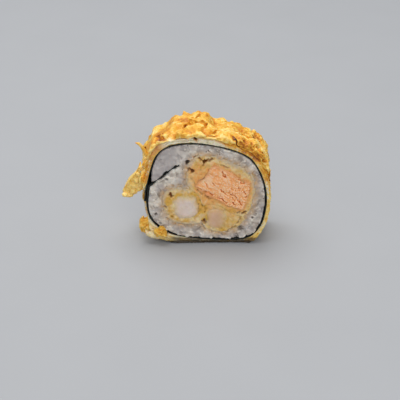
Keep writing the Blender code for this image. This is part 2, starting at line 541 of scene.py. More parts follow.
class Skin:
    """The surface of one mesh object, with its vertices and edges as numpy rows."""

    def __init__(self, target: Object) -> None:
        """Reads the object's mesh.

        Args:
            target: the object, which keeps its mesh until write.
        """
        self.target = target
        self.points = read(target.data.vertices, "co", 3)
        self.edges = read(target.data.edges, "vertices", 2, np.int32)
        self.degree = np.maximum(np.bincount(self.edges.ravel(), minlength=len(self.points)), 1)

    def averaged(self, rows: Array) -> Array:
        """Mean of each vertex's neighbours.

        Args:
            rows: one row of numbers for each vertex.

        Returns:
            Rows of the same shape.
        """
        first, last, count = self.edges[:, 0], self.edges[:, 1], len(self.points)
        columns = [
            np.bincount(first, column[last], count) + np.bincount(last, column[first], count)
            for column in rows.T
        ]
        return np.stack(columns, axis=1) / self.degree[:, None]

    def smooth(self, times: int, share: float) -> None:
        """Moves each vertex a share of the way to its neighbours' mean, several times."""
        for _ in range(times):
            self.points += share * (self.averaged(self.points) - self.points)

    def normals(self) -> Array:
        """Outward normals at the vertices as they are now."""
        self.write()
        return read(self.target.data.vertex_normals, "vector", 3)

    def hollowness(self, times: int) -> Array:
        """How far each vertex lies under the surface around it.

        Args:
            times: rounds of smoothing, more for a wider surrounding.

        Returns:
            Metres, positive in a hollow and negative on a ridge.
        """
        eased = self.points.copy()
        for _ in range(times):
            eased = 0.5 * (eased + self.averaged(eased))
        return np.einsum("ij,ij->i", eased - self.points, self.normals())

    def write(self) -> None:
        """Puts the vertices back into the mesh."""
        self.target.data.vertices.foreach_set("co", self.points.astype(np.float32).ravel())
        self.target.data.update()

    def paint(self, **levels: Array) -> None:
        """Stores numbers at the vertices under names that a material reads.

        Args:
            levels: by name, one number for each vertex.
        """
        stored = self.target.data.attributes
        for name, values in levels.items():
            layer = stored.get(name) or stored.new(name, "FLOAT", "POINT")
            layer.data.foreach_set("value", np.asarray(values, np.float32))


def ball(detail: int) -> tuple[Array, Array]:
    """A unit sphere of even triangles.

    Args:
        detail: how often the icosahedron is divided.

    Returns:
        Its vertices and its triangles.
    """
    work = bmesh.new()
    bmesh.ops.create_icosphere(work, subdivisions=detail, radius=1.0)
    points = np.array([vertex.co[:] for vertex in work.verts])
    faces = np.array([[vertex.index for vertex in face.verts] for face in work.faces])
    work.free()
    return points, faces


def tube_faces(rings: int, around: int) -> Array:
    """Triangles of a closed tube whose first and last vertex are its tips.

    Args:
        rings: how many rings of vertices lie between the tips.
        around: how many vertices a ring has.

    Returns:
        Vertex numbers of each triangle.
    """
    last = 1 + rings * around
    faces = []
    for k in range(around):
        after = (k + 1) % around
        faces += [[0, 1 + k, 1 + after], [last, last - around + after, last - around + k]]
        for start in range(1, last - around, around):
            faces.append([start + k, start + around + k, start + around + after])
            faces.append([start + k, start + around + after, start + after])
    return np.array(faces)


class Heap:
    """Closed shapes gathered into one mesh, with a number for each shape if wanted."""

    def __init__(self) -> None:
        """Starts empty."""
        self.points: list[Array] = []
        self.faces: list[Array] = []
        self.tones: list[Array] = []
        self.count = 0

    def add(self, points: Array, faces: Array, tone: float = 0.0) -> None:
        """Adds one shape.

        Args:
            points: its vertices.
            faces: its triangles.
            tone: a number that all its vertices get.
        """
        self.points.append(points)
        self.faces.append(faces + self.count)
        self.tones.append(np.full(len(points), tone))
        self.count += len(points)

    def add_object(self, source: Object) -> None:
        """Adds the mesh of an object and removes the object.

        Args:
            source: the object.
        """
        source.data.calc_loop_triangles()
        corners = read(source.data.loop_triangles, "vertices", 3, np.int32)
        self.add(read(source.data.vertices, "co", 3), corners)
        bpy.data.objects.remove(source)

    def make(self, name: str) -> Object:
        """Turns all shapes into one object."""
        faces = [face for group in self.faces for face in group.tolist()]
        return mesh_object(name, np.concatenate(self.points), faces)


def turned(rng: np.random.Generator, normal: Array, tilt: float) -> Array:
    """A random frame whose third axis leans off a normal.

    Args:
        rng: the random source.
        normal: the direction to lean off.
        tilt: the spread of the lean, in radians.

    Returns:
        Three axes as rows.
    """
    lean = normal + math.tan(min(tilt, 1.2)) * rng.normal(0.0, 0.6, 3)
    third = lean / np.linalg.norm(lean)
    other = rng.normal(0.0, 1.0, 3)
    first = np.cross(third, other)
    first /= np.linalg.norm(first)
    return np.stack([first, np.cross(third, first), third])


# ---------------------------------------------------------------- finishes


def add_node(tree: NodeTree, kind: str, inputs: dict | None = None, **settings: object) -> Node:
    """Adds a shader node with its settings and links.

    Args:
        tree: the material's nodes.
        kind: the node's type without its ShaderNode prefix.
        inputs: for each input, by name or number, a value or the output that feeds it.
        settings: the node's own properties.

    Returns:
        The node.
    """
    made = tree.nodes.new("ShaderNode" + kind)
    for name, value in settings.items():
        setattr(made, name, value)
    for key, value in (inputs or {}).items():
        if isinstance(value, NodeSocket):
            tree.links.new(value, made.inputs[key])
        else:
            made.inputs[key].default_value = value
    return made


@dataclass(frozen=True)
class Finish:
    """A surface: how light comes back from it, and the colours that its subclass lays on.

    It reads what the meshes store at their vertices, and its reliefs are fine bumps, each given by its
    width, its detail, its strength and its depth and laid over the one before.
    """

    name: str
    roughness: float = 0.5
    ior: float = 1.4
    specular: float = 0.5
    glow: float = 0.0
    glow_reach: Point = (1.0, 0.6, 0.4)
    coat: float = 0.0
    coat_roughness: float = 0.3
    reads: tuple[str, ...] = ()
    reliefs: tuple[tuple[float, float, float, float], ...] = ()

    def make(self) -> Material:
        """Builds the material.

        Returns:
            The material, with its colour and its bumps linked to nodes.
        """
        made = bpy.data.materials.new(self.name)
        made.use_nodes = True
        tree = made.node_tree
        shader = tree.nodes[SHADER]
        for name, value in (
            ("IOR", self.ior), ("Specular IOR Level", self.specular), ("Roughness", self.roughness),
            ("Metallic", 0.0), ("Subsurface Weight", self.glow), ("Subsurface Radius", self.glow_reach),
            ("Subsurface Scale", MM), ("Coat Weight", self.coat), ("Coat Roughness", self.coat_roughness),
        ):
            shader.inputs[name].default_value = value
        place = add_node(tree, "TexCoord").outputs["Object"]
        levels = {
            name: add_node(tree, "Attribute", attribute_name=name).outputs["Fac"] for name in self.reads
        }
        tree.links.new(self.dress(tree, place, levels), shader.inputs["Base Color"])
        under = {}
        for width, detail, strength, depth in self.reliefs:
            height = add_node(tree, "TexNoise", {"Vector": place, "Scale": 1 / width, "Detail": detail})
            inputs = {"Strength": strength, "Distance": depth, "Height": height.outputs["Fac"]} | under
            under = {"Normal": add_node(tree, "Bump", inputs).outputs["Normal"]}
            tree.links.new(under["Normal"], shader.inputs["Normal"])
        return made

    def dress(self, tree: NodeTree, place: NodeSocket, levels: Levels) -> NodeSocket:
        """Lays the colours on; each finish has its own.

        Args:
            tree: the material's nodes.
            place: the object's coordinates.
            levels: the outputs that give what the finish reads.

        Returns:
            The output that gives the colour.
        """
        raise NotImplementedError

    @staticmethod
    def overlaid(
        tree: NodeTree, lowest: str | NodeSocket,
        covers: Iterable[tuple[NodeSocket, float, float, str | NodeSocket]],
    ) -> NodeSocket:
        """Lays colours over each other, as far as the level of each has risen.

        Args:
            tree: the material's nodes.
            lowest: the colour underneath, in hex digits or as an output.
            covers: for each further colour its level, where that starts to show and where it covers,
                and the colour.

        Returns:
            The output that gives the colour on top.
        """
        body = linear(lowest) if isinstance(lowest, str) else lowest
        for level, starts, hides, cover in covers:
            share = add_node(tree, "MapRange", {"Value": level, "From Min": starts, "From Max": hides})
            over = linear(cover) if isinstance(cover, str) else cover
            inputs = {MIX_FACTOR: share.outputs["Result"], MIX_A: body, MIX_B: over}
            body = add_node(tree, "Mix", inputs, data_type="RGBA").outputs[MIX_RESULT]
        return body


@dataclass(frozen=True)
class SteamedRice(Finish):
    """Vinegared short-grain rice: half-clear starch that lets light in, under a thin moist film."""

    name: str = "steamed_short_grain_rice"
    roughness: float = 0.42
    ior: float = 1.38
    glow: float = 0.6
    glow_reach: Point = (1.5, 1.2, 1.0)
    reads: tuple[str, ...] = ("tone", "cold", "oil", "shade")
    reliefs: tuple[tuple[float, float, float, float], ...] = ((0.28 * MM, 2.0, 0.35, 0.05 * MM),)
    clear: str = "9d9085"
    chalky: str = "e6ddd0"
    cool: str = "aea8aa"
    # In the rice this colour is only the batter's oil soaking in.
    soaked: str = "c9a06c"
    # Painted shade: the dark colour laid in the rice's pits and hollows.
    pit_shade: str = "4a3b31"
    mottle: float = 1.3 * MM

    def dress(self, tree: NodeTree, place: NodeSocket, levels: Levels) -> NodeSocket:
        """Clear and chalky starch by grain, cooler near the seaweed fold and oily near the batter, with
        painted shade in its seams and pits.

        Args:
            tree: the material's nodes.
            place: the object's coordinates.
            levels: the outputs that give what the finish reads.

        Returns:
            The output that gives the colour.
        """
        mottled = add_node(tree, "TexNoise", {"Vector": place, "Scale": 1 / self.mottle, "Detail": 3.0})
        patch = mottled.outputs["Fac"]
        chalk = add_node(tree, "Math", {0: levels["tone"], 1: patch}, operation="ADD")
        uneven = add_node(tree, "MapRange", {"Value": patch, "From Min": 0.25, "From Max": 0.6})
        oily = add_node(tree, "Math", {0: levels["oil"], 1: uneven.outputs["Result"]}, operation="MULTIPLY")
        return self.overlaid(tree, self.clear, (
            (chalk.outputs[0], 0.35, 1.45, self.chalky), (levels["cold"], 0.0, 1.0, self.cool),
            (oily.outputs[0], 0.0, 1.0, self.soaked), (levels["shade"], 0.0, 1.0, self.pit_shade),
        ))


@dataclass(frozen=True)
class RoastedSeaweed(Finish):
    """Pressed, roasted nori gone moist: green-black fibres that shine a little where they lie flat."""

    name: str = "roasted_seaweed"
    roughness: float = 0.42
    specular: float = 0.45
    dark: str = "17181a"
    green: str = "2c312b"
    fibre: float = 0.35 * MM
    lie: Point = (1.0, 0.35, 1.0)

    def dress(self, tree: NodeTree, place: NodeSocket, levels: Levels) -> NodeSocket:
        """Short matted fibres, longer along the roll than across it, in colour and in relief.

        Args:
            tree: the material's nodes.
            place: the object's coordinates.
            levels: empty, because the seaweed reads nothing.

        Returns:
            The output that gives the colour.
        """
        stretched = add_node(tree, "Mapping", {"Vector": place, "Scale": self.lie}).outputs["Vector"]
        noisy = add_node(tree, "TexNoise", {"Vector": stretched, "Scale": 1 / self.fibre, "Detail": 4.0})
        matted = noisy.outputs["Fac"]
        bump = add_node(tree, "Bump", {"Strength": 0.6, "Distance": 0.06 * MM, "Height": matted})
        tree.links.new(bump.outputs["Normal"], tree.nodes[SHADER].inputs["Normal"])
        return self.overlaid(tree, self.dark, ((matted, 0.4, 0.7, self.green),))


@dataclass(frozen=True)
class FriedBatter(Finish):
    """Deep-fried tempura batter: cream and doughy inside, golden outside, toasted orange in its folds, which
    are also painted darker as shade.
    """

    name: str = "fried_tempura_batter"
    roughness: float = 0.46
    ior: float = 1.45
    glow: float = 0.25
    glow_reach: Point = (1.2, 0.6, 0.2)
    specular: float = 0.35
    coat: float = 0.06
    reads: tuple[str, ...] = ("browned", "layers", "doughy", "soaked")
    reliefs: tuple[tuple[float, float, float, float], ...] = (
        (1.0 * MM, 4.0, 0.45, 0.12 * MM), (0.25 * MM, 3.0, 0.35, 0.04 * MM),
    )
    shades: tuple[tuple[float, str], ...] = (
        (0.0, "f1d07c"), (0.2, "e6b243"), (0.38, "da9729"),
        (0.56, "c4771a"), (0.76, "925212"), (1.0, "46250a"),
    )
    dough: str = "ede3c8"
    dough_shade: str = "a58c52"
    # The dark foot colour: painted shade and contact shadow, with some oil.
    soaked: str = "2a1d07"
    patch: float = 5.0 * MM
    blister: float = 1.0 * MM

    def dress(self, tree: NodeTree, place: NodeSocket, levels: Levels) -> NodeSocket:
        """Pale ridges, golden body and toasted hollows, partly painted light and shade, on dough with a
        shaded oily foot.

        Args:
            tree: the material's nodes.
            place: the object's coordinates.
            levels: the outputs that give what the finish reads.

        Returns:
            The output that gives the colour.
        """
        noises = [
            add_node(tree, "TexNoise", {"Vector": place, "Scale": 1 / width, "Detail": detail})
            for width, detail in ((self.patch, 2.0), (self.blister, 4.0))
        ]
        broad, fine = (noise.outputs["Fac"] for noise in noises)
        patchy = add_node(tree, "Math", {0: broad, 1: levels["browned"]}, operation="ADD")
        level = add_node(tree, "Math", {0: fine, 1: 0.4, 2: patchy.outputs[0]}, operation="MULTIPLY_ADD")
        share = add_node(tree, "MapRange", {"Value": level.outputs[0], "From Min": 0.36, "From Max": 1.7})
        ramp = add_node(tree, "ValToRGB", {"Fac": share.outputs["Result"]})
        stops = ramp.color_ramp.elements
        stops.remove(stops[0])
        for spot, shade in self.shades[:-1]:
            stops.new(spot).color = linear(shade)
        stops[-1].position, last = self.shades[-1]
        stops[-1].color = linear(last)
        layered = add_node(tree, "Math", {0: fine, 1: levels["layers"]}, operation="ADD")
        dough = self.overlaid(tree, self.dough, ((layered.outputs[0], 0.3, 1.4, self.dough_shade),))
        sheen = {"Value": fine, "From Min": 0.3, "From Max": 0.7, "To Min": 0.36, "To Max": 0.6}
        oily = add_node(tree, "MapRange", sheen)
        tree.links.new(oily.outputs["Result"], tree.nodes[SHADER].inputs["Roughness"])
        return self.overlaid(tree, ramp.outputs["Color"], (
            (levels["doughy"], 0.0, 1.0, dough), (levels["soaked"], 0.0, 1.0, self.soaked),
        ))


@dataclass(frozen=True)
class CookedSalmon(Finish):
    """Cooked salmon, cut across its flakes: matt orange-pink flesh with pale fat and moist crumbs, with
    painted light and shade on its relief.
    """

    name: str = "cooked_salmon"
    roughness: float = 0.45
    glow: float = 0.2
    glow_reach: Point = (1.6, 0.6, 0.3)
    reads: tuple[str, ...] = ("hollow", "rim")
    reliefs: tuple[tuple[float, float, float, float], ...] = ((0.35 * MM, 3.0, 0.6, 0.1 * MM),)
    flesh: str = "faae6b"
    # pale shows in patches and as painted light on the crumbs' tops and at the painted highlight; deep is
    # painted shade between the crumbs.
    pale: str = "fccba0"
    deep: str = "b8561f"
    stained: str = "dc914f"
    flake: float = 2.2 * MM

    def dress(self, tree: NodeTree, place: NodeSocket, levels: Levels) -> NodeSocket:
        """Paler on the crumbs' tops and at a painted highlight, and deeper between them as painted shade.

        Args:
            tree: the material's nodes.
            place: the object's coordinates.
            levels: the outputs that give what the finish reads.

        Returns:
            The output that gives the colour.
        """
        broad = add_node(tree, "TexNoise", {"Vector": place, "Scale": 1 / self.flake, "Detail": 4.0})
        summed = add_node(tree, "Math", {0: broad.outputs["Fac"], 1: levels["hollow"]}, operation="ADD")
        depth = summed.outputs[0]
        return self.overlaid(tree, self.pale, (
            (depth, 0.2, 0.52, self.flesh), (depth, 0.62, 1.15, self.deep),
            (levels["rim"], 0.0, 1.0, self.stained),
        ))


@dataclass(frozen=True)
class SoakedBatter(Finish):
    """The fillings' own tempura coat, softened by the rice: porous, yellow to tan, brown in its cracks as
    painted shade.
    """

    name: str = "soaked_tempura_batter"
    roughness: float = 0.5
    glow: float = 0.45
    glow_reach: Point = (1.4, 0.9, 0.4)
    reads: tuple[str, ...] = ("yellow", "tan", "fade", "hollow")
    reliefs: tuple[tuple[float, float, float, float], ...] = ((0.5 * MM, 3.0, 0.45, 0.08 * MM),)
    pale: str = "e9cf9e"
    yellow: str = "d8a94a"
    tan: str = "ebac62"
    starch: str = "c3b19a"
    # Painted shade: the brown laid where the coat's face sinks into cracks and pores.
    brown: str = "7a4418"
    patch: float = 2.2 * MM

    def dress(self, tree: NodeTree, place: NodeSocket, levels: Levels) -> NodeSocket:
        """Pale and yellow in patches, tan near the fish, greyed by rice at its rim, brown where hollow as
        painted shade.

        Args:
            tree: the material's nodes.
            place: the object's coordinates.
            levels: the outputs that give what the finish reads.

        Returns:
            The output that gives the colour.
        """
        noisy = add_node(tree, "TexNoise", {"Vector": place, "Scale": 1 / self.patch, "Detail": 4.0})
        broad = noisy.outputs["Fac"]
        yellow = add_node(tree, "Math", {0: broad, 1: levels["yellow"]}, operation="ADD")
        fade = add_node(tree, "Math", {0: broad, 1: 0.7, 2: levels["fade"]}, operation="MULTIPLY_ADD")
        return self.overlaid(tree, self.pale, (
            (yellow.outputs[0], 0.35, 0.95, self.yellow), (levels["tan"], 0.0, 0.9, self.tan),
            (fade.outputs[0], 0.75, 1.45, self.starch), (levels["hollow"], 0.12, 0.95, self.brown),
        ))


@dataclass(frozen=True)
class CrabMeat(SoakedBatter):
    """Steamed crab leg, cut across: smooth, wet, half-clear white flesh, stained by batter at its edge."""

    name: str = "cooked_crab_meat"
    roughness: float = 0.38
    ior: float = 1.38
    glow: float = 0.5
    reads: tuple[str, ...] = ("yellow", "tan", "fade", "hollow", "core")
    clear: str = "d3bba4"
    white: str = "e6d5ca"
    thread: float = 2.6 * MM

    def dress(self, tree: NodeTree, place: NodeSocket, levels: Levels) -> NodeSocket:
        """Faint threads in the flesh, over the batter's own colours.

        Args:
            tree: the material's nodes.
            place: the object's coordinates.
            levels: the outputs that give what the finish reads.

        Returns:
            The output that gives the colour.
        """
        broad = add_node(tree, "TexNoise", {"Vector": place, "Scale": 1 / self.thread, "Detail": 3.0})
        inputs = {0: levels["core"], 1: 0.5, 2: broad.outputs["Fac"]}
        deep = add_node(tree, "Math", inputs, operation="MULTIPLY_ADD")
        flesh = self.overlaid(tree, self.clear, ((deep.outputs[0], 0.6, 1.1, self.white),))
        return self.overlaid(tree, super().dress(tree, place, levels), ((levels["core"], 0.0, 1.0, flesh),))


@dataclass(frozen=True)
class PaintedBoard(Finish):
    """The plain studio floor: matt, pale painted board with the faintest unevenness."""

    name: str = "pale_painted_board"
    roughness: float = 0.7
    specular: float = 0.25
    light: str = "a9aaac"
    dark: str = "a5a6a8"
    mottle: float = 40.0 * MM

    def dress(self, tree: NodeTree, place: NodeSocket, levels: Levels) -> NodeSocket:
        """Two nearly equal greys.

        Args:
            tree: the material's nodes.
            place: the object's coordinates.
            levels: empty, because the floor reads nothing.

        Returns:
            The output that gives the colour.
        """
        broad = add_node(tree, "TexNoise", {"Vector": place, "Scale": 1 / self.mottle, "Detail": 2.0})
        return self.overlaid(tree, self.dark, ((broad.outputs["Fac"], 0.0, 1.0, self.light),))


# ---------------------------------------------------------------- the food


def settle(piece: Object, slot: str, finish: Material, *nodes: str) -> None:
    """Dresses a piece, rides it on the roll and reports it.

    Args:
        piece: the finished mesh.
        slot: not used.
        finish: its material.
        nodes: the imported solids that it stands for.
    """
    piece.data.materials.clear()
    piece.data.materials.append(finish)
    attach(piece, "root")
    if nodes:
        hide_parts(*nodes)
    piece.data.calc_loop_triangles()
    LOG.info("%s: %d triangles", piece.name, len(piece.data.loop_triangles))


class GrainRound(NamedTuple):
    """One round of scattering grains: their half lengths, the tries, how far apart and how deep they lie."""

    half: Point
    tries: int
    spacing: float
    depth: Range


@dataclass
class RiceBed:
    """The rice: a core of packed starch and, at both cut faces, real grains pressed against each other."""

    whole_grain: Point = (2.9 * MM, 1.28 * MM, 1.2 * MM)
    broken_grain: Point = (1.3 * MM, 0.95 * MM, 0.95 * MM)
    rounds: tuple[GrainRound, ...] = (
        GrainRound(whole_grain, 5000, 0.80, (0.15 * MM, 1.1 * MM)),
        GrainRound(broken_grain, 3500, 0.80, (0.2 * MM, 0.9 * MM)),
        GrainRound(whole_grain, 3000, 0.74, (1.8 * MM, 2.6 * MM)),
    )
    margin: float = 0.25 * MM
    size_range: Range = (0.86, 1.1)
    upright_share: float = 0.22
    lift: Range = (-0.03, 0.13)
    dropped_share: float = 0.05
    dropped_by: Range = (0.3, 0.9)
    lean: float = 0.13
    crumb: float = 0.42 * MM
    crumbs: int = 170
    spills: int = 16
    spill_from: float = -15.5 * MM
    spill_to: float = 11.0 * MM
    slab_recess: float = 0.5 * MM
    tail: tuple[Spot, Spot] = ((-20.6, 24.8), (-10.0, 33.8))
    slab_depth: float = 2.4 * MM
    voxel: float = 0.2 * MM
    core_voxel: float = 0.5 * MM
    most_triangles: int = 110000
    pits: int = 34
    swell: float = 1.3
    over_seaweed: float = 0.1 * MM
    over_batter: float = 0.35 * MM
    knife_softness: float = 0.08 * MM
    rings: int = 13
    segments: int = 18
    crescent_start: Spot = (-20.0, 24.6)
    crescent_slope: float = 0.80
    crescent_ends: Range = (-3.0, -14.0)
    hollows: tuple[Mark, ...] = (
        (-6.5, 33.9, 0.95, 1.7), (8.2, 5.2, 0.7, 1.0), (13.2, 6.3, 1.3, 0.8),
        (-18.6, 12.4, 0.6, 0.7), (17.6, 11.0, 0.5, 0.7), (-14.4, 27.0, 0.6, 0.6),
    )
    finish: SteamedRice = field(default_factory=SteamedRice)

    def __post_init__(self) -> None:
        """Reads the rice's outlines and makes the template grain."""
        self.material = self.finish.make()
        self.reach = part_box("rice")[1].y
        self.loops = {side: cut_loops("rice", side) for side in Side}
        self.batter = {
            side: [loop for node in ("salmon_batter", "crab_batter") for loop in cut_loops(node, side)]
            for side in Side
        }
        theta = np.linspace(0.0, math.pi, self.rings + 1)[:, None]
        phi = np.linspace(0.0, 2 * math.pi, self.segments, endpoint=False)[None, :]
        width = np.sin(theta) ** 0.9
        self.template = np.stack(
            [np.cos(theta) + 0 * phi, width * np.cos(phi), width * np.sin(phi)], axis=-1,
        )

    def oil(self, spots: Array, side: Side) -> Array:
        """How much the batter has soaked the rice, 0 to 1, at rows of (x, z)."""
        return 1.0 - smooth_step(distance_to(spots, self.batter[side]), -0.4 * MM, 2.8 * MM)

    def cold(self, spots: Array) -> Array:
        """Tells where the rice is clearer and bluish, above the seaweed's inner tail.

        Args:
            spots: rows of (x, z).

        Returns:
            1 in that crescent and 0 outside it, for each spot.
        """
        x, z = (spots / MM - self.crescent_start).T
        above = smooth_step(z - self.crescent_slope * x, 0.0, 1.5)
        return above * smooth_step(spots[:, 0] / MM, *self.crescent_ends)

    def sunk(self, points: Array, side: Side) -> Array:
        """How far hollows and small gaps between grains push points of a cut face in.

        Args:
            points: rows of (x, y, z).
            side: the cut face; the named hollows are on the front one.

        Returns:
            Metres for each point.
        """
        rng = np.random.default_rng(33 + side.value)
        low, high = (getattr(np.concatenate(self.loops[side]), name)(axis=0) / MM for name in ("min", "max"))
        spots = rng.uniform(low, high, (self.pits, 2))
        radii = rng.uniform(0.2, 0.42, self.pits)
        holes = [(x, z, radius, 1.1 * radius) for (x, z), radius in zip(spots, radii)]
        if side is Side.FRONT:
            holes += self.hollows
        near = smooth_step(side.value * points[:, 1], self.reach - 2.2 * MM, self.reach - 0.8 * MM)
        crooked = warped(points[:, [0, 2]], 0.8 * MM, 0.3 * MM, 36)
        return marks(crooked, holes, 1.3, 0.3) * MM * near

    def core(self) -> Object:
        """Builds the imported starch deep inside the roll.

        Returns:
            A closed mesh that ends short of both cut faces.
        """
        core = node_copy("rice", "rice_core")
        points = read(core.data.vertices, "co", 3)
        points[:, 1] *= 1.0 - 0.8 * self.slab_depth / self.reach
        core.data.vertices.foreach_set("co", points.astype(np.float32).ravel())
        fuse(core, self.core_voxel)
        plain = np.ones(len(core.data.vertices))
        # Painted shade: the core deep inside the roll is painted darker all over.
        Skin(core).paint(tone=0.4 * plain, oil=0.0 * plain, cold=0.0 * plain, shade=0.3 * plain)
        return core

    def slab(self, side: Side) -> Object:
        """Cuts out the starch that the grains of one cut face are bedded in.

        Args:
            side: the cut face.

        Returns:
            A closed mesh a little behind the face.
        """
        slab = node_copy("rice", "rice_slab")
        ends = sorted(side.value * (self.reach - depth) for depth in (self.slab_recess, self.slab_depth))
        knife = block((-40 * MM, ends[0], -10 * MM), (40 * MM, ends[1], 60 * MM))
        bake_modifier(slab, "BOOLEAN", operation="INTERSECT", object=knife, solver="EXACT")
        bpy.data.objects.remove(knife)
        return slab

    def scatter(self, side: Side, rng: np.random.Generator) -> tuple[Array, Array, Array]:
        """Places grains at one cut face without too much overlap.

        Args:
            side: the cut face.
            rng: the random source.

        Returns:
            Centres, axes as rows, and half lengths of the grains.
        """
        loops = self.loops[side]
        low = np.concatenate(loops).min(axis=0)
        high = np.concatenate(loops).max(axis=0)
        centres, frames, halves = [], [], []
        metrics = np.zeros((0, 3, 3))
        spots = np.zeros((0, 3))
        flat_share = 1.0 - self.upright_share
        for half, tries, spacing, depths in self.rounds:
            tried = rng.uniform(low, high, (tries, 2))
            fits = is_inside(tried, loops) & (distance_to(tried, loops) > self.margin)
            for spot in tried[fits]:
                size = np.array(half) * rng.uniform(*self.size_range, 3)
                swing = rng.uniform(0.0, math.pi)
                rises = [rng.normal(0.0, 0.2), rng.uniform(0.4, 1.4)]
                rise = rng.choice(rises, p=[flat_share, self.upright_share])
                long_axis = np.array([
                    math.cos(swing) * math.cos(rise), math.sin(rise), math.sin(swing) * math.cos(rise),
                ])
                axes = self.axes_round(long_axis, rng)
                centre = np.array([spot[0], side.value * (self.reach - rng.uniform(*depths)), spot[1]])
                metric = axes / size[:, None]
                if len(spots):
                    gap = spots - centre
                    apart = np.linalg.norm(gap, axis=1) + 1e-12
                    way = gap / apart[:, None]
                    own = 1.0 / np.linalg.norm(way @ metric.T, axis=1)
                    others = 1.0 / np.linalg.norm(np.einsum("nij,nj->ni", metrics, way), axis=1)
                    if (apart < spacing * (own + others)).any():
                        continue
                centres.append(centre)
                frames.append(axes)
                halves.append(size)
                metrics = np.concatenate([metrics, metric[None]])
                spots = np.concatenate([spots, centre[None]])
        return np.array(centres), np.array(frames), np.array(halves)

    @staticmethod
    def axes_round(long_axis: Array, rng: np.random.Generator) -> Array:
        """Turns a grain about its length at random.

        Args:
            long_axis: the way it points.
            rng: the random source.

        Returns:
            Three axes as rows, the first along the grain.
        """
        other = np.cross(long_axis, rng.normal(0.0, 1.0, 3))
        other /= np.linalg.norm(other)
        return np.stack([long_axis, other, np.cross(long_axis, other)])

    def pressed(self, centres: Array, frames: Array, halves: Array) -> Array:
        """Swells the grains and flattens each against the ones it meets.

        Args:
            centres: middle of each grain.
            frames: its axes as rows.
            halves: its half lengths.

        Returns:
            For each grain, offsets of its template's points from its centre.
        """
        metrics = frames / halves[:, :, None]
        unit = self.template.reshape(-1, 3)
        stretched = unit[None] * halves[:, None, :] * self.swell
        offsets = np.einsum("nmk,nkj->nmj", stretched, frames)
        squeezed = np.empty_like(offsets)
        for index, centre in enumerate(centres):
            reach = 2.4 * self.whole_grain[0]
            near = np.linalg.norm(centres - centre, axis=1) < reach
            near[index] = False
            vectors = offsets[index]
            radius = np.linalg.norm(vectors @ metrics[index].T, axis=1)
            others = metrics[near]
            along = np.einsum("kij,mj->kmi", others, vectors)
            apart = np.einsum("kij,kj->ki", others, centre - centres[near])
            square = np.einsum("kmi,kmi->km", along, along) - radius[None] ** 2
            cross = np.einsum("kmi,ki->km", along, apart)
            constant = np.einsum("ki,ki->k", apart, apart)[:, None]
            inner = cross ** 2 - square * constant
            bottom = -cross + np.sqrt(np.maximum(inner, 0.0))
            meets = (inner >= 0.0) & (bottom > 1e-9)
            share = np.where(meets, constant / np.where(meets, bottom, 1.0), np.inf)
            least = np.minimum(share.min(axis=0, initial=np.inf), 1.0)
            squeezed[index] = vectors * least[:, None]
        return squeezed

    def eased(self, offsets: Array) -> Array:
        """Rounds the pressed grains' corners.

        Args:
            offsets: points of each grain, from its centre.

        Returns:
            The rounded points.
        """
        grid = offsets.reshape(len(offsets), self.rings + 1, self.segments, 3)
        around = 0.5 * (np.roll(grid, 1, axis=2) + np.roll(grid, -1, axis=2))
        up_down = grid.copy()
        up_down[:, 1:-1] = 0.5 * (grid[:, :-2] + grid[:, 2:])
        grid = 0.5 * grid + 0.25 * around + 0.25 * up_down
        for tip, beside in ((0, 1), (-1, -2)):
            grid[:, tip] = grid[:, beside].mean(axis=1, keepdims=True) * 0.35 + grid[:, tip] * 0.65
        return grid.reshape(offsets.shape)

    def grains(self, side: Side) -> Object:
        """Builds the pressed grains of one cut face, cut level with it.

        Args:
            side: the cut face.

        Returns:
            One mesh of many closed grains.
        """
        rng = np.random.default_rng(70 + side.value)
        centres, frames, halves = self.scatter(side, rng)
        points = self.eased(self.pressed(centres, frames, halves)) + centres[:, None, :]
        points = self.kept_in(points, centres, side)
        lift = rng.normal(*self.lift, len(centres)) * MM
        dropped = rng.uniform(0.0, 1.0, len(centres)) < self.dropped_share
        lift -= dropped * rng.uniform(*self.dropped_by, len(centres)) * MM
        lean = rng.normal(0.0, self.lean, (len(centres), 2))
        across = points[:, :, [0, 2]] - centres[:, None, [0, 2]]
        wave = rough(points.reshape(-1, 3) * SECTION, 7 * MM, 1, 5).reshape(points.shape[:2])
        level = self.reach + lift[:, None] + np.einsum("nmk,nk->nm", across, lean) + 0.22 * MM * wave
        flat = levelled(side.value * points[:, :, 1] - level, self.knife_softness)
        points[:, :, 1] = side.value * (level + flat)
        heap = Heap()
        faces = tube_faces(self.rings - 1, self.segments)
        keep = np.r_[0, self.segments:self.rings * self.segments, self.rings * self.segments]
        tones = rng.beta(1.6, 2.2, len(centres))
        for shape, tone in zip(points, tones):
            heap.add(shape[keep], faces, tone)
        self.add_bits(heap, side, rng)
        grain_points = np.concatenate(heap.points)
        grain_tones = np.concatenate(heap.tones)
        heap.add_object(self.slab(side))
        made = heap.make(f"rice_grains_{side.name.lower()}")
        fuse(made, self.voxel)
        skin = Skin(made)
        skin.smooth(2, 0.5)
        self.dress(skin, side, grain_points, grain_tones)
        thin_out(made, self.most_triangles)
        return made

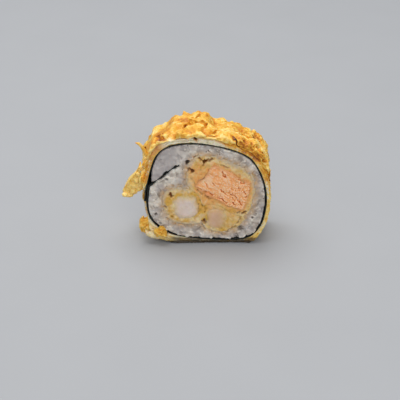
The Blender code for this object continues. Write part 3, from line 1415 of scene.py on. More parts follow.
    def dress(self, skin: Skin, side: Side, grain_points: Array, grain_tones: Array) -> None:
        """Digs the hollows of one face and stores what the finish reads.

        Args:
            skin: the fused grains.
            side: the cut face.
            grain_points: the grains' own points before they were fused.
            grain_tones: how chalky each of those points' grain is.
        """
        spots, flat = skin.points[:, [0, 2]], skin.points * SECTION
        near = smooth_step(side.value * skin.points[:, 1], self.reach - 1.4 * MM, self.reach - 0.5 * MM)
        to_seaweed = distance_to(spots, cut_loops("nori", side))
        at_tail = smooth_step(segment_distance(spots, *self.tail), 2.6 * MM, 1.2 * MM)
        lap = (0.04 + 0.18 * at_tail) * MM * smooth_step(to_seaweed, 0.55 * MM, 0.15 * MM) * near
        sunk = self.sunk(skin.points, side)
        wavy = 0.26 * MM * rough(flat, 3.6 * MM, 2, 38 + side.value) * near
        skin.points[:, 1] += side.value * (wavy - sunk - lap)
        cold = self.cold(spots) * (side is Side.FRONT)
        eased = skin.points.copy()
        for _ in range(14):
            eased += 0.6 * (skin.averaged(eased) - eased)
        skin.points[:, 1] += 0.85 * cold * near * (eased[:, 1] - skin.points[:, 1])
        seam_shade = np.clip(skin.hollowness(5) / (0.06 * MM), -1.0, 1.5)
        tones = np.full(len(spots), 0.5)
        facing = np.flatnonzero(near > 0.0)
        tones[facing] = grain_tones[nearest_index(grain_points, skin.points[facing])]
        uneven = 0.48 * rough(flat, 5.0 * MM, 2, 37 + side.value)
        uneven += 0.54 * rough(flat, 1.9 * MM, 2, 39 + side.value)
        uneven -= 0.2 * smooth_step(spots[:, 0], 13 * MM, 19 * MM)
        lilac = 0.4 * smooth_step(rough(flat, 4.2 * MM, 2, 40 + side.value), 0.0, 0.4)
        # Painted shade: the tone drops in the seams between grains, and shade rises where pits and hollows
        # sink in.
        skin.paint(
            tone=0.3 + (1.0 - 0.7 * cold) * (0.44 * tones - 0.3 * seam_shade) + uneven, oil=self.oil(spots, side),
            cold=np.maximum(lilac, 0.6 * cold), shade=np.clip(0.95 * sunk / MM, 0.0, 1.0),
        )

    def add_bits(self, heap: Heap, side: Side, rng: np.random.Generator) -> None:
        """Adds broken bits between the grains, and a few that the knife dragged over the seaweed below.

        Args:
            heap: where the shapes go.
            side: the cut face.
            rng: the random source.
        """
        loops = self.loops[side]
        outer = np.concatenate(loops)
        tried = rng.uniform(outer.min(axis=0), outer.max(axis=0), (4 * self.crumbs, 2))
        inner = tried[is_inside(tried, loops)][:self.crumbs]
        across = rng.uniform(self.spill_from, self.spill_to, self.spills)
        low = np.array([outer[np.abs(outer[:, 0] - x) < 2 * MM][:, 1].min() for x in across])
        spilt = np.stack([across, low + rng.uniform(0.0, 0.5, self.spills) * MM], axis=1)
        unit, faces = ball(2)
        for index, spot in enumerate(np.concatenate([inner, spilt])):
            wide = 1.0 if index < len(inner) else rng.uniform(1.6, 2.6)
            half = self.crumb * rng.uniform(0.5, 1.3, 3) * [wide, 1.0, wide]
            shape = unit * half * (1.0 + 0.2 * rough(unit, 1.0, 1, index))[:, None]
            shape = shape @ self.axes_round(turned(rng, np.array([1.0, 0.0, 0.0]), 0.5)[2], rng)
            sunk = rng.uniform(0.0, 0.3) * MM
            shape += [spot[0], side.value * (self.reach - sunk), spot[1]]
            over = side.value * shape[:, 1] - self.reach - 0.2 * MM
            shape[:, 1] -= side.value * np.maximum(over, 0.0) * 0.75
            heap.add(shape, faces, rng.uniform(0.3, 0.9))

    def kept_in(self, points: Array, centres: Array, side: Side) -> Array:
        """Draws the points that stick out of the rice's outline back towards their grain's middle.

        Args:
            points: the points of each grain.
            centres: the grains' middles.
            side: the cut face.

        Returns:
            The moved points.
        """
        flat = points.reshape(-1, 3)
        middles = np.repeat(centres, points.shape[1], axis=0)
        out = np.flatnonzero(~is_inside(flat[:, [0, 2]], self.loops[side]))
        low, high = np.zeros(len(out)), np.ones(len(out))
        for _ in range(5):
            share = 0.5 * (low + high)
            tried = (middles[out] + share[:, None] * (flat[out] - middles[out]))[:, [0, 2]]
            fits = is_inside(tried, self.loops[side])
            fits |= distance_to(tried, self.loops[side]) < self.over_seaweed
            fits |= distance_to(tried, self.batter[side]) < self.over_batter
            low, high = np.where(fits, share, low), np.where(fits, high, share)
        flat[out] = middles[out] + low[:, None] * (flat[out] - middles[out])
        return flat.reshape(points.shape)

    def build(self) -> None:
        """Makes the core and the grains of both faces."""
        settle(self.core(), "rice", self.material, "rice")
        for side in Side:
            settle(self.grains(side), "rice", self.material)


@dataclass
class SeaweedSheet:
    """The sheet of nori, rolled once round with its ends lapped, its cut edges a little ragged."""

    step: float = 0.3 * MM
    rows: tuple[float, ...] = (
        1.0, 0.996, 0.985, 0.96, 0.9, 0.75, 0.4, 0.0, -0.4, -0.75, -0.9, -0.96, -0.985, -0.996, -1.0,
    )
    thickness: float = 0.34 * MM
    ragged: float = 0.14 * MM
    swollen_rows: Range = (0.7, 0.96)
    ragged_rows: Range = (0.9, 1.0)
    thinnest: float = 0.35
    fleck_proud: float = 0.05 * MM
    thick_spots: tuple[Mark, ...] = (
        (-20.9, 24.6, 2.4, 1.1), (-22.2, 19.5, 5.5, 0.7), (-21.4, 12.0, 4.0, 0.1), (22.3, 24.0, 8.0, 0.35),
        (-17.8, 5.6, 5.0, -0.4), (-15.5, 38.4, 5.5, -0.35), (-7.0, 41.4, 6.0, -0.35),
        (2.0, 41.4, 8.0, -0.35), (12.0, 39.6, 8.0, -0.35),
    )
    flecks: tuple[Mark, ...] = (
        (-20.4, 11.0, 0.75), (-19.9, 10.1, 0.5), (-14.5, 4.6, 0.5), (-15.6, 3.9, 0.45),
        (11.8, 2.8, 0.4), (17.0, 35.0, 0.35),
    )
    finish: RoastedSeaweed = field(default_factory=RoastedSeaweed)

    @staticmethod
    def middle_line(loop: Array) -> Array:
        """Finds the line half way between the two sides of a ribbon's outline.

        Args:
            loop: the outline, whose two sides have as many points.

        Returns:
            Points from the outer end of the sheet to its tail in the rice.
        """
        count = len(loop)
        half = count // 2
        order = np.arange(half)
        sides = [
            (loop[(start + order) % count], loop[(start - 1 - order) % count]) for start in range(count)
        ]
        widths = [np.linalg.norm(ahead - behind, axis=1).sum() for ahead, behind in sides]
        line = 0.5 * np.add(*sides[int(np.argmin(widths))])
        middle = loop.mean(axis=0)
        ends = np.linalg.norm(line[[0, -1]] - middle, axis=1)
        return line if ends[0] > ends[1] else line[::-1]

    @staticmethod
    def resampled(line: Array, count: int) -> Array:
        """Spaces the points of a line evenly.

        Args:
            line: its points.
            count: how many there shall be.

        Returns:
            The new points.
        """
        lengths = np.r_[0.0, np.cumsum(np.linalg.norm(np.diff(line, axis=0), axis=1))]
        wanted = np.linspace(0.0, lengths[-1], count)
        return np.stack([np.interp(wanted, lengths, line[:, k]) for k in range(2)], axis=1)

    def layer(self, front: Array, back: Array, row: float, reach: float, sign: float = 1.0) -> Array:
        """One line of points along the sheet, on one of its two sides.

        Args:
            front: the sheet's middle line at the front face.
            back: the same at the back face.
            row: where the points lie, from -1 at the front face to 1 at the back.
            reach: how far the cut faces lie from the middle.
            sign: 1 for one side of the sheet and -1 for the other.

        Returns:
            Rows of (x, y, z).
        """
        share = 0.5 * (1.0 + row)
        line = (1 - share) * front + share * back
        run = np.gradient(line, axis=0)
        across = np.stack([run[:, 1], -run[:, 0]], axis=1)
        across /= np.linalg.norm(across, axis=1)[:, None]
        place = np.stack([line[:, 0], np.full(len(line), row * reach), line[:, 1]], axis=1)
        at_edge = float(smooth_step(np.array(abs(row)), *self.swollen_rows))
        swell = 1.0 + (0.1 + 0.5 * at_edge) * rough(place, 1.1 * MM, 2, 11)
        if row < 0:
            swell += at_edge * marks(line, self.thick_spots, 1.0, 0.3, np.add)
        wave = (0.04 + 0.12 * at_edge) * MM * rough(place, 2.6 * MM, 2, 12)
        edge = 0.5 if abs(row) > 0.995 else 1.0
        offset = sign * 0.5 * self.thickness * np.maximum(swell, self.thinnest) * edge + wave
        layer = place + np.stack([across[:, 0] * offset, 0 * offset, across[:, 1] * offset], axis=1)
        bite = self.ragged * rough(place * SECTION, 0.9 * MM, 3, 13 if row < 0 else 14)
        layer[:, 1] += bite * np.sign(row) * smooth_step(np.array(abs(row)), *self.ragged_rows)
        return layer

    def build(self) -> None:
        """Makes the sheet as one closed ribbon, and its flecks."""
        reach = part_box("nori")[1].y
        lines = {side: self.middle_line(cut_loops("nori", side)[0]) for side in Side}
        length = np.linalg.norm(np.diff(lines[Side.FRONT], axis=0), axis=1).sum()
        count = int(length / self.step)
        front, back = (self.resampled(lines[side], count) for side in Side)
        layers = [self.layer(front, back, row, reach) for row in self.rows]
        layers += [self.layer(front, back, row, reach, -1.0) for row in self.rows[::-1]]
        around = len(layers)
        faces = []
        for k in range(around):
            after = (k + 1) % around
            for i in range(count - 1):
                faces.append([k * count + i, k * count + i + 1, after * count + i + 1, after * count + i])
        for i in (0, count - 1):
            for k in range(len(self.rows) - 1):
                quad = [row * count + i for row in (k, k + 1, around - 2 - k, around - 1 - k)]
                faces.append(quad if i == 0 else quad[::-1])
        sheet = mesh_object("nori_sheet", np.concatenate(layers), faces)
        work = bmesh.new()
        work.from_mesh(sheet.data)
        bmesh.ops.recalc_face_normals(work, faces=work.faces)
        work.to_mesh(sheet.data)
        work.free()
        finish = self.finish.make()
        settle(sheet, "nori", finish, "nori")
        settle(self.fleck_heap(reach), "nori", finish)

    def fleck_heap(self, reach: float) -> Object:
        """Makes the torn bits of seaweed that the knife left on both cut faces.

        Args:
            reach: how far the cut faces lie from the middle.

        Returns:
            One mesh of thin ragged bits.
        """
        rng = np.random.default_rng(17)
        scraps = Scraps(rng)
        heap = Heap()
        for side in Side:
            for x, z, size in self.flecks:
                place = np.array([x * MM, side.value * (reach + self.fleck_proud), z * MM])
                shape, faces = scraps.flake(np.zeros(3), np.array([0.0, 1.0, 0.0]), size * MM, 0.15)
                heap.add(shape * [1.0, 0.6, 1.0] + place, faces)
        return heap.make("nori_flecks")


@dataclass
class Filling:
    """One filling that runs through the roll and shows at both cut faces."""

    node: str
    piece: str
    slot: str = "crab"
    finish: Finish = field(default_factory=CrabMeat)
    voxel: float = 0.26 * MM
    grow: float = 0.2 * MM
    ragged: float = 0.25 * MM
    ragged_size: float = 2.0 * MM
    corners: tuple[Mark, ...] = ()
    most_triangles: int = 45000

    def relief(self, points: Array, rim: Array, side: Side) -> Array:
        """Height of the cut face, outwards and in metres; each filling has its own.

        Args:
            points: vertices near the face.
            rim: their distance to the filling's outline.
            side: the cut face.

        Returns:
            One height for each point.
        """
        raise NotImplementedError

    def tint(self, skin: Skin, height: Array, rim: Array) -> None:
        """Stores what the finish reads; each filling has its own.

        Args:
            skin: the finished surface.
            height: the cut face's height at each vertex, 0 away from the faces.
            rim: each vertex's distance to the outline, 0 away from the faces.
        """
        raise NotImplementedError

    def body(self) -> Object:
        """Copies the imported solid."""
        return node_copy(self.node, self.piece)

    def outline(self, side: Side) -> list[Array]:
        """The outer outline of the filling's cut face."""
        return [max(cut_loops(self.node, side), key=lambda loop: float(np.ptp(loop, axis=0).sum()))]

    def trimmed(self, points: Array) -> Array:
        """Straightens the filling's sides; only some fillings need it."""
        return points

    def build(self) -> None:
        """Makes the filling as one closed skin."""
        body = self.body()
        fuse(body, self.voxel)
        skin = Skin(body)
        skin.smooth(1, 0.4)
        skin.points = self.trimmed(skin.points)
        normals = skin.normals()
        uneven = self.ragged * rough(skin.points * [1, 0.4, 1], self.ragged_size, 3, 71)
        skin.points += (self.grow + uneven * (1.0 - np.abs(normals[:, 1])))[:, None] * normals
        for x, z, radius, share in self.corners:
            to_corner = np.array([x, z]) * MM - skin.points[:, [0, 2]]
            near = np.clip(1.0 - np.linalg.norm(to_corner, axis=1) / (radius * MM), 0.0, 1.0)
            skin.points[:, [0, 2]] += share * near[:, None] ** 1.5 * to_corner
        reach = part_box(self.node)[1].y
        height = np.zeros(len(skin.points))
        rim = np.zeros(len(skin.points))
        normals = skin.normals()
        for side in Side:
            outward = side.value * skin.points[:, 1]
            near = np.flatnonzero(outward > reach - 1.6 * MM)
            points = skin.points[near]
            rims = distance_to(points[:, [0, 2]], self.outline(side))
            share = smooth_step(outward[near], reach - 1.6 * MM, reach - 0.1 * MM)
            share *= smooth_step(side.value * normals[near, 1], 0.1, 0.8)
            rise = self.relief(points, rims, side) * share
            skin.points[near, 1] += side.value * (rise - self.grow * share)
            height[near] = rise
            rim[near] = rims
        skin.write()
        self.tint(skin, height, rim)
        thin_out(body, self.most_triangles)
        settle(body, self.slot, self.finish.make(), self.node)


@dataclass
class Salmon(Filling):
    """A block of cooked salmon: smooth at its upper left, breaking into moist crumbs at its lower right."""

    node: str = "salmon"
    piece: str = "salmon_block"
    slot: str = "salmon"
    finish: Finish = field(default_factory=CookedSalmon)
    voxel: float = 0.2 * MM
    most_triangles: int = 90000
    edge: tuple[Spot, ...] = (
        (3.2, 32.7), (8.0, 30.6), (12.5, 27.6), (17.1, 25.4), (16.2, 19.6), (14.2, 14.1), (12.4, 14.9),
        (8.2, 16.0), (4.8, 18.3), (1.2, 20.2), (-1.4, 22.0), (-3.9, 24.2), (-2.2, 26.6), (-0.6, 27.4),
        (1.2, 30.6),
    )
    corners: tuple[Mark, ...] = (
        (3.4, 33.4, 3.0, 0.35), (17.6, 25.8, 3.2, 0.35), (14.6, 13.7, 3.0, 0.3),
    )
    ragged: float = 0.3 * MM
    ragged_size: float = 1.4 * MM
    pits: tuple[Mark, ...] = ((13.6, 25.6, 0.8, 0.8), (-0.4, 21.8, 0.8, 0.5))
    cracks: tuple[Crack, ...] = (
        ((6.2, 30.0), (7.2, 27.8), 0.45, 0.6), ((12.4, 26.8), (14.2, 25.4), 0.5, 0.6),
        ((0.6, 21.8), (2.4, 20.6), 0.6, 0.6), ((-3.0, 23.8), (-1.2, 22.6), 0.4, 0.4),
        ((2.6, 25.4), (3.6, 24.4), 0.3, 0.35), ((6.0, 22.6), (7.6, 21.0), 0.35, 0.4),
        ((9.2, 21.0), (11.4, 19.6), 0.35, 0.45), ((12.2, 18.6), (13.4, 16.4), 0.35, 0.5),
        ((5.0, 19.4), (6.8, 18.2), 0.4, 0.4), ((10.2, 17.4), (11.4, 16.2), 0.35, 0.45),
        ((14.2, 22.0), (15.4, 20.0), 0.3, 0.4), ((-0.2, 26.0), (1.0, 24.4), 0.3, 0.3),
    )

    def relief(self, points: Array, rim: Array, side: Side) -> Array:
        """Flakes, crumbs, cracks and a few named pits.

        Args:
            points: vertices near the face.
            rim: their distance to the filling's outline.
            side: the cut face.

        Returns:
            One height for each point.
        """
        spots = points[:, [0, 2]]
        x, z = spots[:, 0] / MM, spots[:, 1] / MM
        crumbly = smooth_step(x - z, -24.0, -8.0)
        flat = points * SECTION
        along = np.stack([0.87 * x - 0.49 * z, 0.0 * x, 0.49 * x + 0.87 * z], axis=1) * MM
        broad = 0.2 * MM * rough(flat, 3.2 * MM, 2, 21 + side.value)
        flakes = (0.2 + 0.02 * crumbly) * MM * rough(along * [0.55, 1, 1], 1.4 * MM, 3, 23 + side.value)
        crumbs = (0.1 + 0.32 * crumbly) * MM * (0.5 - cells(flat, 0.85 * MM, 25 + side.value))
        crumbs += 0.14 * crumbly * MM * rough(flat, 0.6 * MM, 2, 27 + side.value)
        height = 0.42 * MM + broad + flakes + crumbs - 0.3 * MM * smooth_step(rim, 0.5 * MM, 0.0)
        height -= crack_depth(warped(spots, 1.6 * MM, 0.5 * MM, 28), self.cracks, 1.5, 0.1)
        return height - MM * marks(spots, self.pits, 1.25, 0.45, np.add)

    def trimmed(self, points: Array) -> Array:
        """Gives the block its straight sides towards the front face."""
        return pulled_in(points, self.edge, smooth_step(-points[:, 1], -4 * MM, 5 * MM))

    def tint(self, skin: Skin, height: Array, rim: Array) -> None:
        """Stores painted shade in the pits and between the crumbs, paler ridges, a painted highlight, and how
        near its edge.

        Args:
            skin: the finished surface.
            height: not needed, because pits count by their shape.
            rim: not needed, because the front's own edge counts.
        """
        # Painted shade and light: darker in pits and between crumbs, paler on ridges.
        between = skin.hollowness(6) / (0.08 * MM) + 0.8 * skin.hollowness(24) / (0.2 * MM)
        x, z = skin.points[:, 0] / MM, skin.points[:, 2] / MM
        # A painted highlight: a pale spot on the front face's upper left.
        painted_highlight = smooth_step(np.hypot(x - 0.2, z - 27.0), 3.4, 0.8) * (skin.points[:, 1] < 0)
        to_edge = distance_to(skin.points[:, [0, 2]], [np.array(self.edge) * MM])
        uneven = rough(skin.points * SECTION, 1.6 * MM, 2, 26)
        soft = 0.75 * (1.0 - smooth_step(to_edge + 0.6 * MM * uneven, 0.0, 1.0 * MM))
        skin.paint(
            hollow=np.clip(0.28 * between - 0.07 - 0.42 * painted_highlight, -0.5, 0.9),
            rim=soft * smooth_step(-skin.points[:, 1], 0.0, 5 * MM),
        )


@dataclass
class InnerBatter(Filling):
    """The tempura coat round the fillings: porous, with cracks painted brown as shade, its rim lost in the
    rice.
    """

    slot: str = "inner_batter"
    finish: Finish = field(default_factory=SoakedBatter)
    voxel: float = 0.24 * MM
    most_triangles: int = 80000
    grow: float = 0.3 * MM
    ragged: float = 0.4 * MM
    pore_depth: float = 0.35 * MM
    fade_width: float = 1.4 * MM
    fills: tuple[str, ...] = ()
    neighbour: str = ""
    hearts: tuple[Heart, ...] = ()
    fish_edge: tuple[Spot, ...] = ()
    tan_width: float = 1.7 * MM
    tan_spots: tuple[Mark, ...] = ()
    cracks: tuple[Crack, ...] = ()
    stains: tuple[Mark, ...] = ()
    golden_lines: tuple[tuple[Spot, ...], ...] = ()
    golden_width: float = 0.7

    def body(self) -> Object:
        """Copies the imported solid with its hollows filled, so that no gap opens round the fillings.

        Returns:
            The copy, of closed shapes that touch.
        """
        heap = Heap()
        for node in (self.node, *self.fills):
            heap.add_object(node_copy(node, self.piece + "_part"))
        return heap.make(self.piece)

    def texture(self, points: Array, side: Side) -> Array:
        """Pores of several sizes, and cracks from one named point to another.

        Args:
            points: rows of (x, y, z).
            side: the cut face.

        Returns:
            Height of the cut face at each point, in metres.
        """
        flat = points * SECTION
        broad = 0.26 * MM * rough(flat, 2.2 * MM, 2, 41 + side.value)
        fine = 0.18 * MM * rough(flat, 0.8 * MM, 2, 43 + side.value)
        open_pores = smooth_step(cells(flat, 1.5 * MM, 45 + side.value), 0.42, 0.12)
        chosen = smooth_step(rough(flat, 2.6 * MM, 1, 47 + side.value), 0.0, 0.35)
        crooked = warped(points[:, [0, 2]], 1.2 * MM, 0.5 * MM, 48)
        pores = self.pore_depth * open_pores * chosen
        return broad + fine - pores - crack_depth(crooked, self.cracks, 1.5, 0.1)

    def relief(self, points: Array, rim: Array, side: Side) -> Array:
        """The coat's texture, lower where a filling lies over it.

        Args:
            points: vertices near the face.
            rim: not needed, because the coat keeps its texture up to the rice.
            side: the cut face.

        Returns:
            One height for each point.
        """
        height = self.texture(points, side)
        for heart in self.hearts:
            height -= 0.3 * MM * heart_share(points, heart)
        if self.fish_edge:
            front = side is Side.FRONT
            loops = [np.array(self.fish_edge) * MM] if front else cut_loops("salmon", side)
            spots = points[:, [0, 2]]
            low, high = (0.3 * MM, 0.9 * MM) if front else (0.0, 0.6 * MM)
            height -= 0.7 * MM * smooth_step(is_inside(spots, loops) * distance_to(spots, loops), low, high)
        return height

    def values(self, points: Array, height: Array) -> dict[str, Array]:
        """What the finish reads at points of the coat.

        Args:
            points: rows of (x, y, z).
            height: the cut face's height there.

        Returns:
            By attribute: painted shade in the hollows, the fade at the rice, yellow stains and the tan by the
                fish.
        """
        spots = points[:, [0, 2]]
        uneven = rough(points * [1, 0.3, 1], 1.8 * MM, 3, 49)
        yellow, tan = (
            marks(spots, places, 1.4, 0.3, np.add, 0.8 * uneven) for places in (self.stains, self.tan_spots)
        )
        crooked = warped(spots, 2.4 * MM, 0.45 * MM, 50)
        patchy = 0.36 + 0.34 * rough(points * SECTION, 2.8 * MM, 2, 58)
        for line in self.golden_lines:
            far = np.min([segment_distance(crooked, *ends) for ends in zip(line, line[1:])], axis=0) / MM
            yellow += patchy * smooth_step(far, 2.4 * self.golden_width, 0.1 * self.golden_width)
        if self.fish_edge:
            to_fish = distance_to(spots, [np.array(self.fish_edge) * MM])
            tan += 1.0 - smooth_step(to_fish + 0.7 * MM * uneven, 0.2 * MM, self.tan_width)
        streaks = rough(points * [1.5, 0, 0.8], 1.5 * MM, 3, 59)
        to_rice = distance_to(spots, cut_loops("rice", Side.FRONT))
        to_other = distance_to(spots, cut_loops(self.neighbour, Side.FRONT))
        x, z = spots.T
        width = self.fade_width + 1.5 * MM * smooth_step(x, 0.0, -6.0 * MM)
        width += 1.8 * MM * smooth_step(x, 2.0 * MM, 8.0 * MM) * smooth_step(z, 18 * MM, 25 * MM)
        fade = 1.0 - smooth_step((to_rice + 0.6 * MM * uneven) / width, 0.0, 1.0)
        return {
            "yellow": yellow + 0.25 * uneven - 0.16 * streaks,
            "tan": tan * np.clip(0.8 + 0.85 * streaks, 0.1, 1.1),
            "fade": fade * smooth_step(to_other, 0.6 * MM, 2.0 * MM),
            # Painted shade: the deeper the face sinks, the browner it is painted.
            "hollow": np.clip(-height / (0.9 * MM), 0.0, 1.0),
        }

    def tint(self, skin: Skin, height: Array, rim: Array) -> None:
        """Stores what the finish reads.

        Args:
            skin: the finished surface.
            height: the cut face's height at each vertex, 0 away from the faces.
            rim: not needed, because the coat fades by its distance to the rice.
        """
        bare = self.texture(skin.points, Side.FRONT) * (np.abs(height) > 0.0)
        skin.paint(**self.values(skin.points, bare))


@dataclass
class CrabLeg(Filling):
    """The cut through one crab leg: smooth, wet white meat whose edge runs into the batter round it."""

    heart: Heart = (-7.3, 14.6, 4.1, 4.4, 0.3)
    coat: InnerBatter | None = None
    grow: float = 1.0 * MM
    most_triangles: int = 30000

    def relief(self, points: Array, rim: Array, side: Side) -> Array:
        """A low dome with faint threads, going over into the coat's own texture.

        Args:
            points: vertices near the face.
            rim: not needed, because the meat ends where its heart does.
            side: the cut face.

        Returns:
            One height for each point.
        """
        flat = points * SECTION
        share = heart_share(points, self.heart)
        dome = (0.2 + 0.02 * rough(flat, 1.0 * MM, 2, 31) + 0.1 * rough(flat, 2.8 * MM, 1, 33)) * MM
        texture = self.coat.texture(points, side)
        return share * dome + (1.0 - share) * texture + (0.18 * share - 0.08) * MM

    def tint(self, skin: Skin, height: Array, rim: Array) -> None:
        """Stores where the meat is clear of batter, and the coat's own levels elsewhere.

        Args:
            skin: the finished surface.
            height: not needed, because the coat's own texture counts.
            rim: not needed, because the meat ends where its heart does.
        """
        share = heart_share(skin.points, self.heart)
        bare = self.coat.texture(skin.points, Side.FRONT) * (1.0 - share)
        skin.paint(core=share, **self.coat.values(skin.points, bare))


@dataclass
class Scraps:
    """Crisp bits of fried batter: bent flakes and round drops, each one closed and ragged."""

    rng: np.random.Generator
    fine: tuple[Array, Array] = field(default_factory=lambda: ball(3))
    coarse: tuple[Array, Array] = field(default_factory=lambda: ball(2))
    horn_sides: int = 10

    def flake(self, place: Array, normal: Array, size: float, tilt: float) -> tuple[Array, Array]:
        """One bent, ragged flake.

        Args:
            place: its middle.
            normal: the way its flat side faces before it leans.
            size: its half length.
            tilt: how far it leans, in radians.

        Returns:
            Its points and triangles.
        """
        rng = self.rng
        unit, faces = self.fine
        angle = np.arctan2(unit[:, 1], unit[:, 0])
        ragged = 1.0 + sum(
            rng.uniform(0.04, 0.16) * np.sin(k * angle + rng.uniform(0, 6.28)) for k in (2, 3, 5)
        )
        half = size * np.array([1.0, rng.uniform(0.5, 0.9), rng.uniform(0.16, 0.3)])
        shape = unit * half * np.stack([ragged, ragged, np.ones_like(ragged)], axis=1)
        u, v = shape[:, 0] / size, shape[:, 1] / size
        shape[:, 2] += size * (rng.uniform(-0.5, 0.5) * u * u + rng.uniform(-0.5, 0.5) * v * v)
        shape[:, 2] += size * rng.uniform(-0.6, 0.6) * u * v
        shape += unit * (0.1 * size * rough(shape, 0.45 * size, 2, int(rng.integers(1000))))[:, None]
        return shape @ turned(rng, normal, tilt) + place, faces

    def drop(self, place: Array, size: float) -> tuple[Array, Array]:
        """One round, knobbly drop of batter.

        Args:
            place: its middle.
            size: its radius, before it is squeezed a little.

        Returns:
            Its points and triangles.
        """
        unit, faces = self.coarse
        half = size * self.rng.uniform(0.7, 1.15, 3)
        lumps = 1.0 + 0.25 * rough(unit, 0.9, 1, int(self.rng.integers(1000)))
        return unit * half * lumps[:, None] + place, faces

    def horn(self, line: tuple[Point, ...], radii: tuple[float, ...]) -> tuple[Array, Array]:
        """A tapered curl of batter along a line.

        Args:
            line: points along its middle, in millimetres.
            radii: its radius at each, in millimetres.

        Returns:
            Its points and triangles.
        """
        middle = np.array(line) * MM
        turn = 2 * math.pi * np.arange(self.horn_sides)[:, None] / self.horn_sides
        rings = []
        for centre, run, radius in zip(middle, np.gradient(middle, axis=0), radii):
            way = run / np.linalg.norm(run)
            side = np.cross(way, [0.0, 1.0, 0.0])
            side /= np.linalg.norm(side)
            up = 1.3 * np.cross(way, side)
            rings.append(centre + radius * MM * (np.cos(turn) * side + np.sin(turn) * up))
        points = np.concatenate([middle[:1], *rings, middle[-1:]])
        return points, tube_faces(len(middle), self.horn_sides)[:, ::-1]


class ScrapRound(NamedTuple):
    """One round of strewing flakes: how many, their half widths, how likely low down, tilt and sinking."""

    count: int
    size: Range
    floor_share: float
    tilt: float
    sunk: float


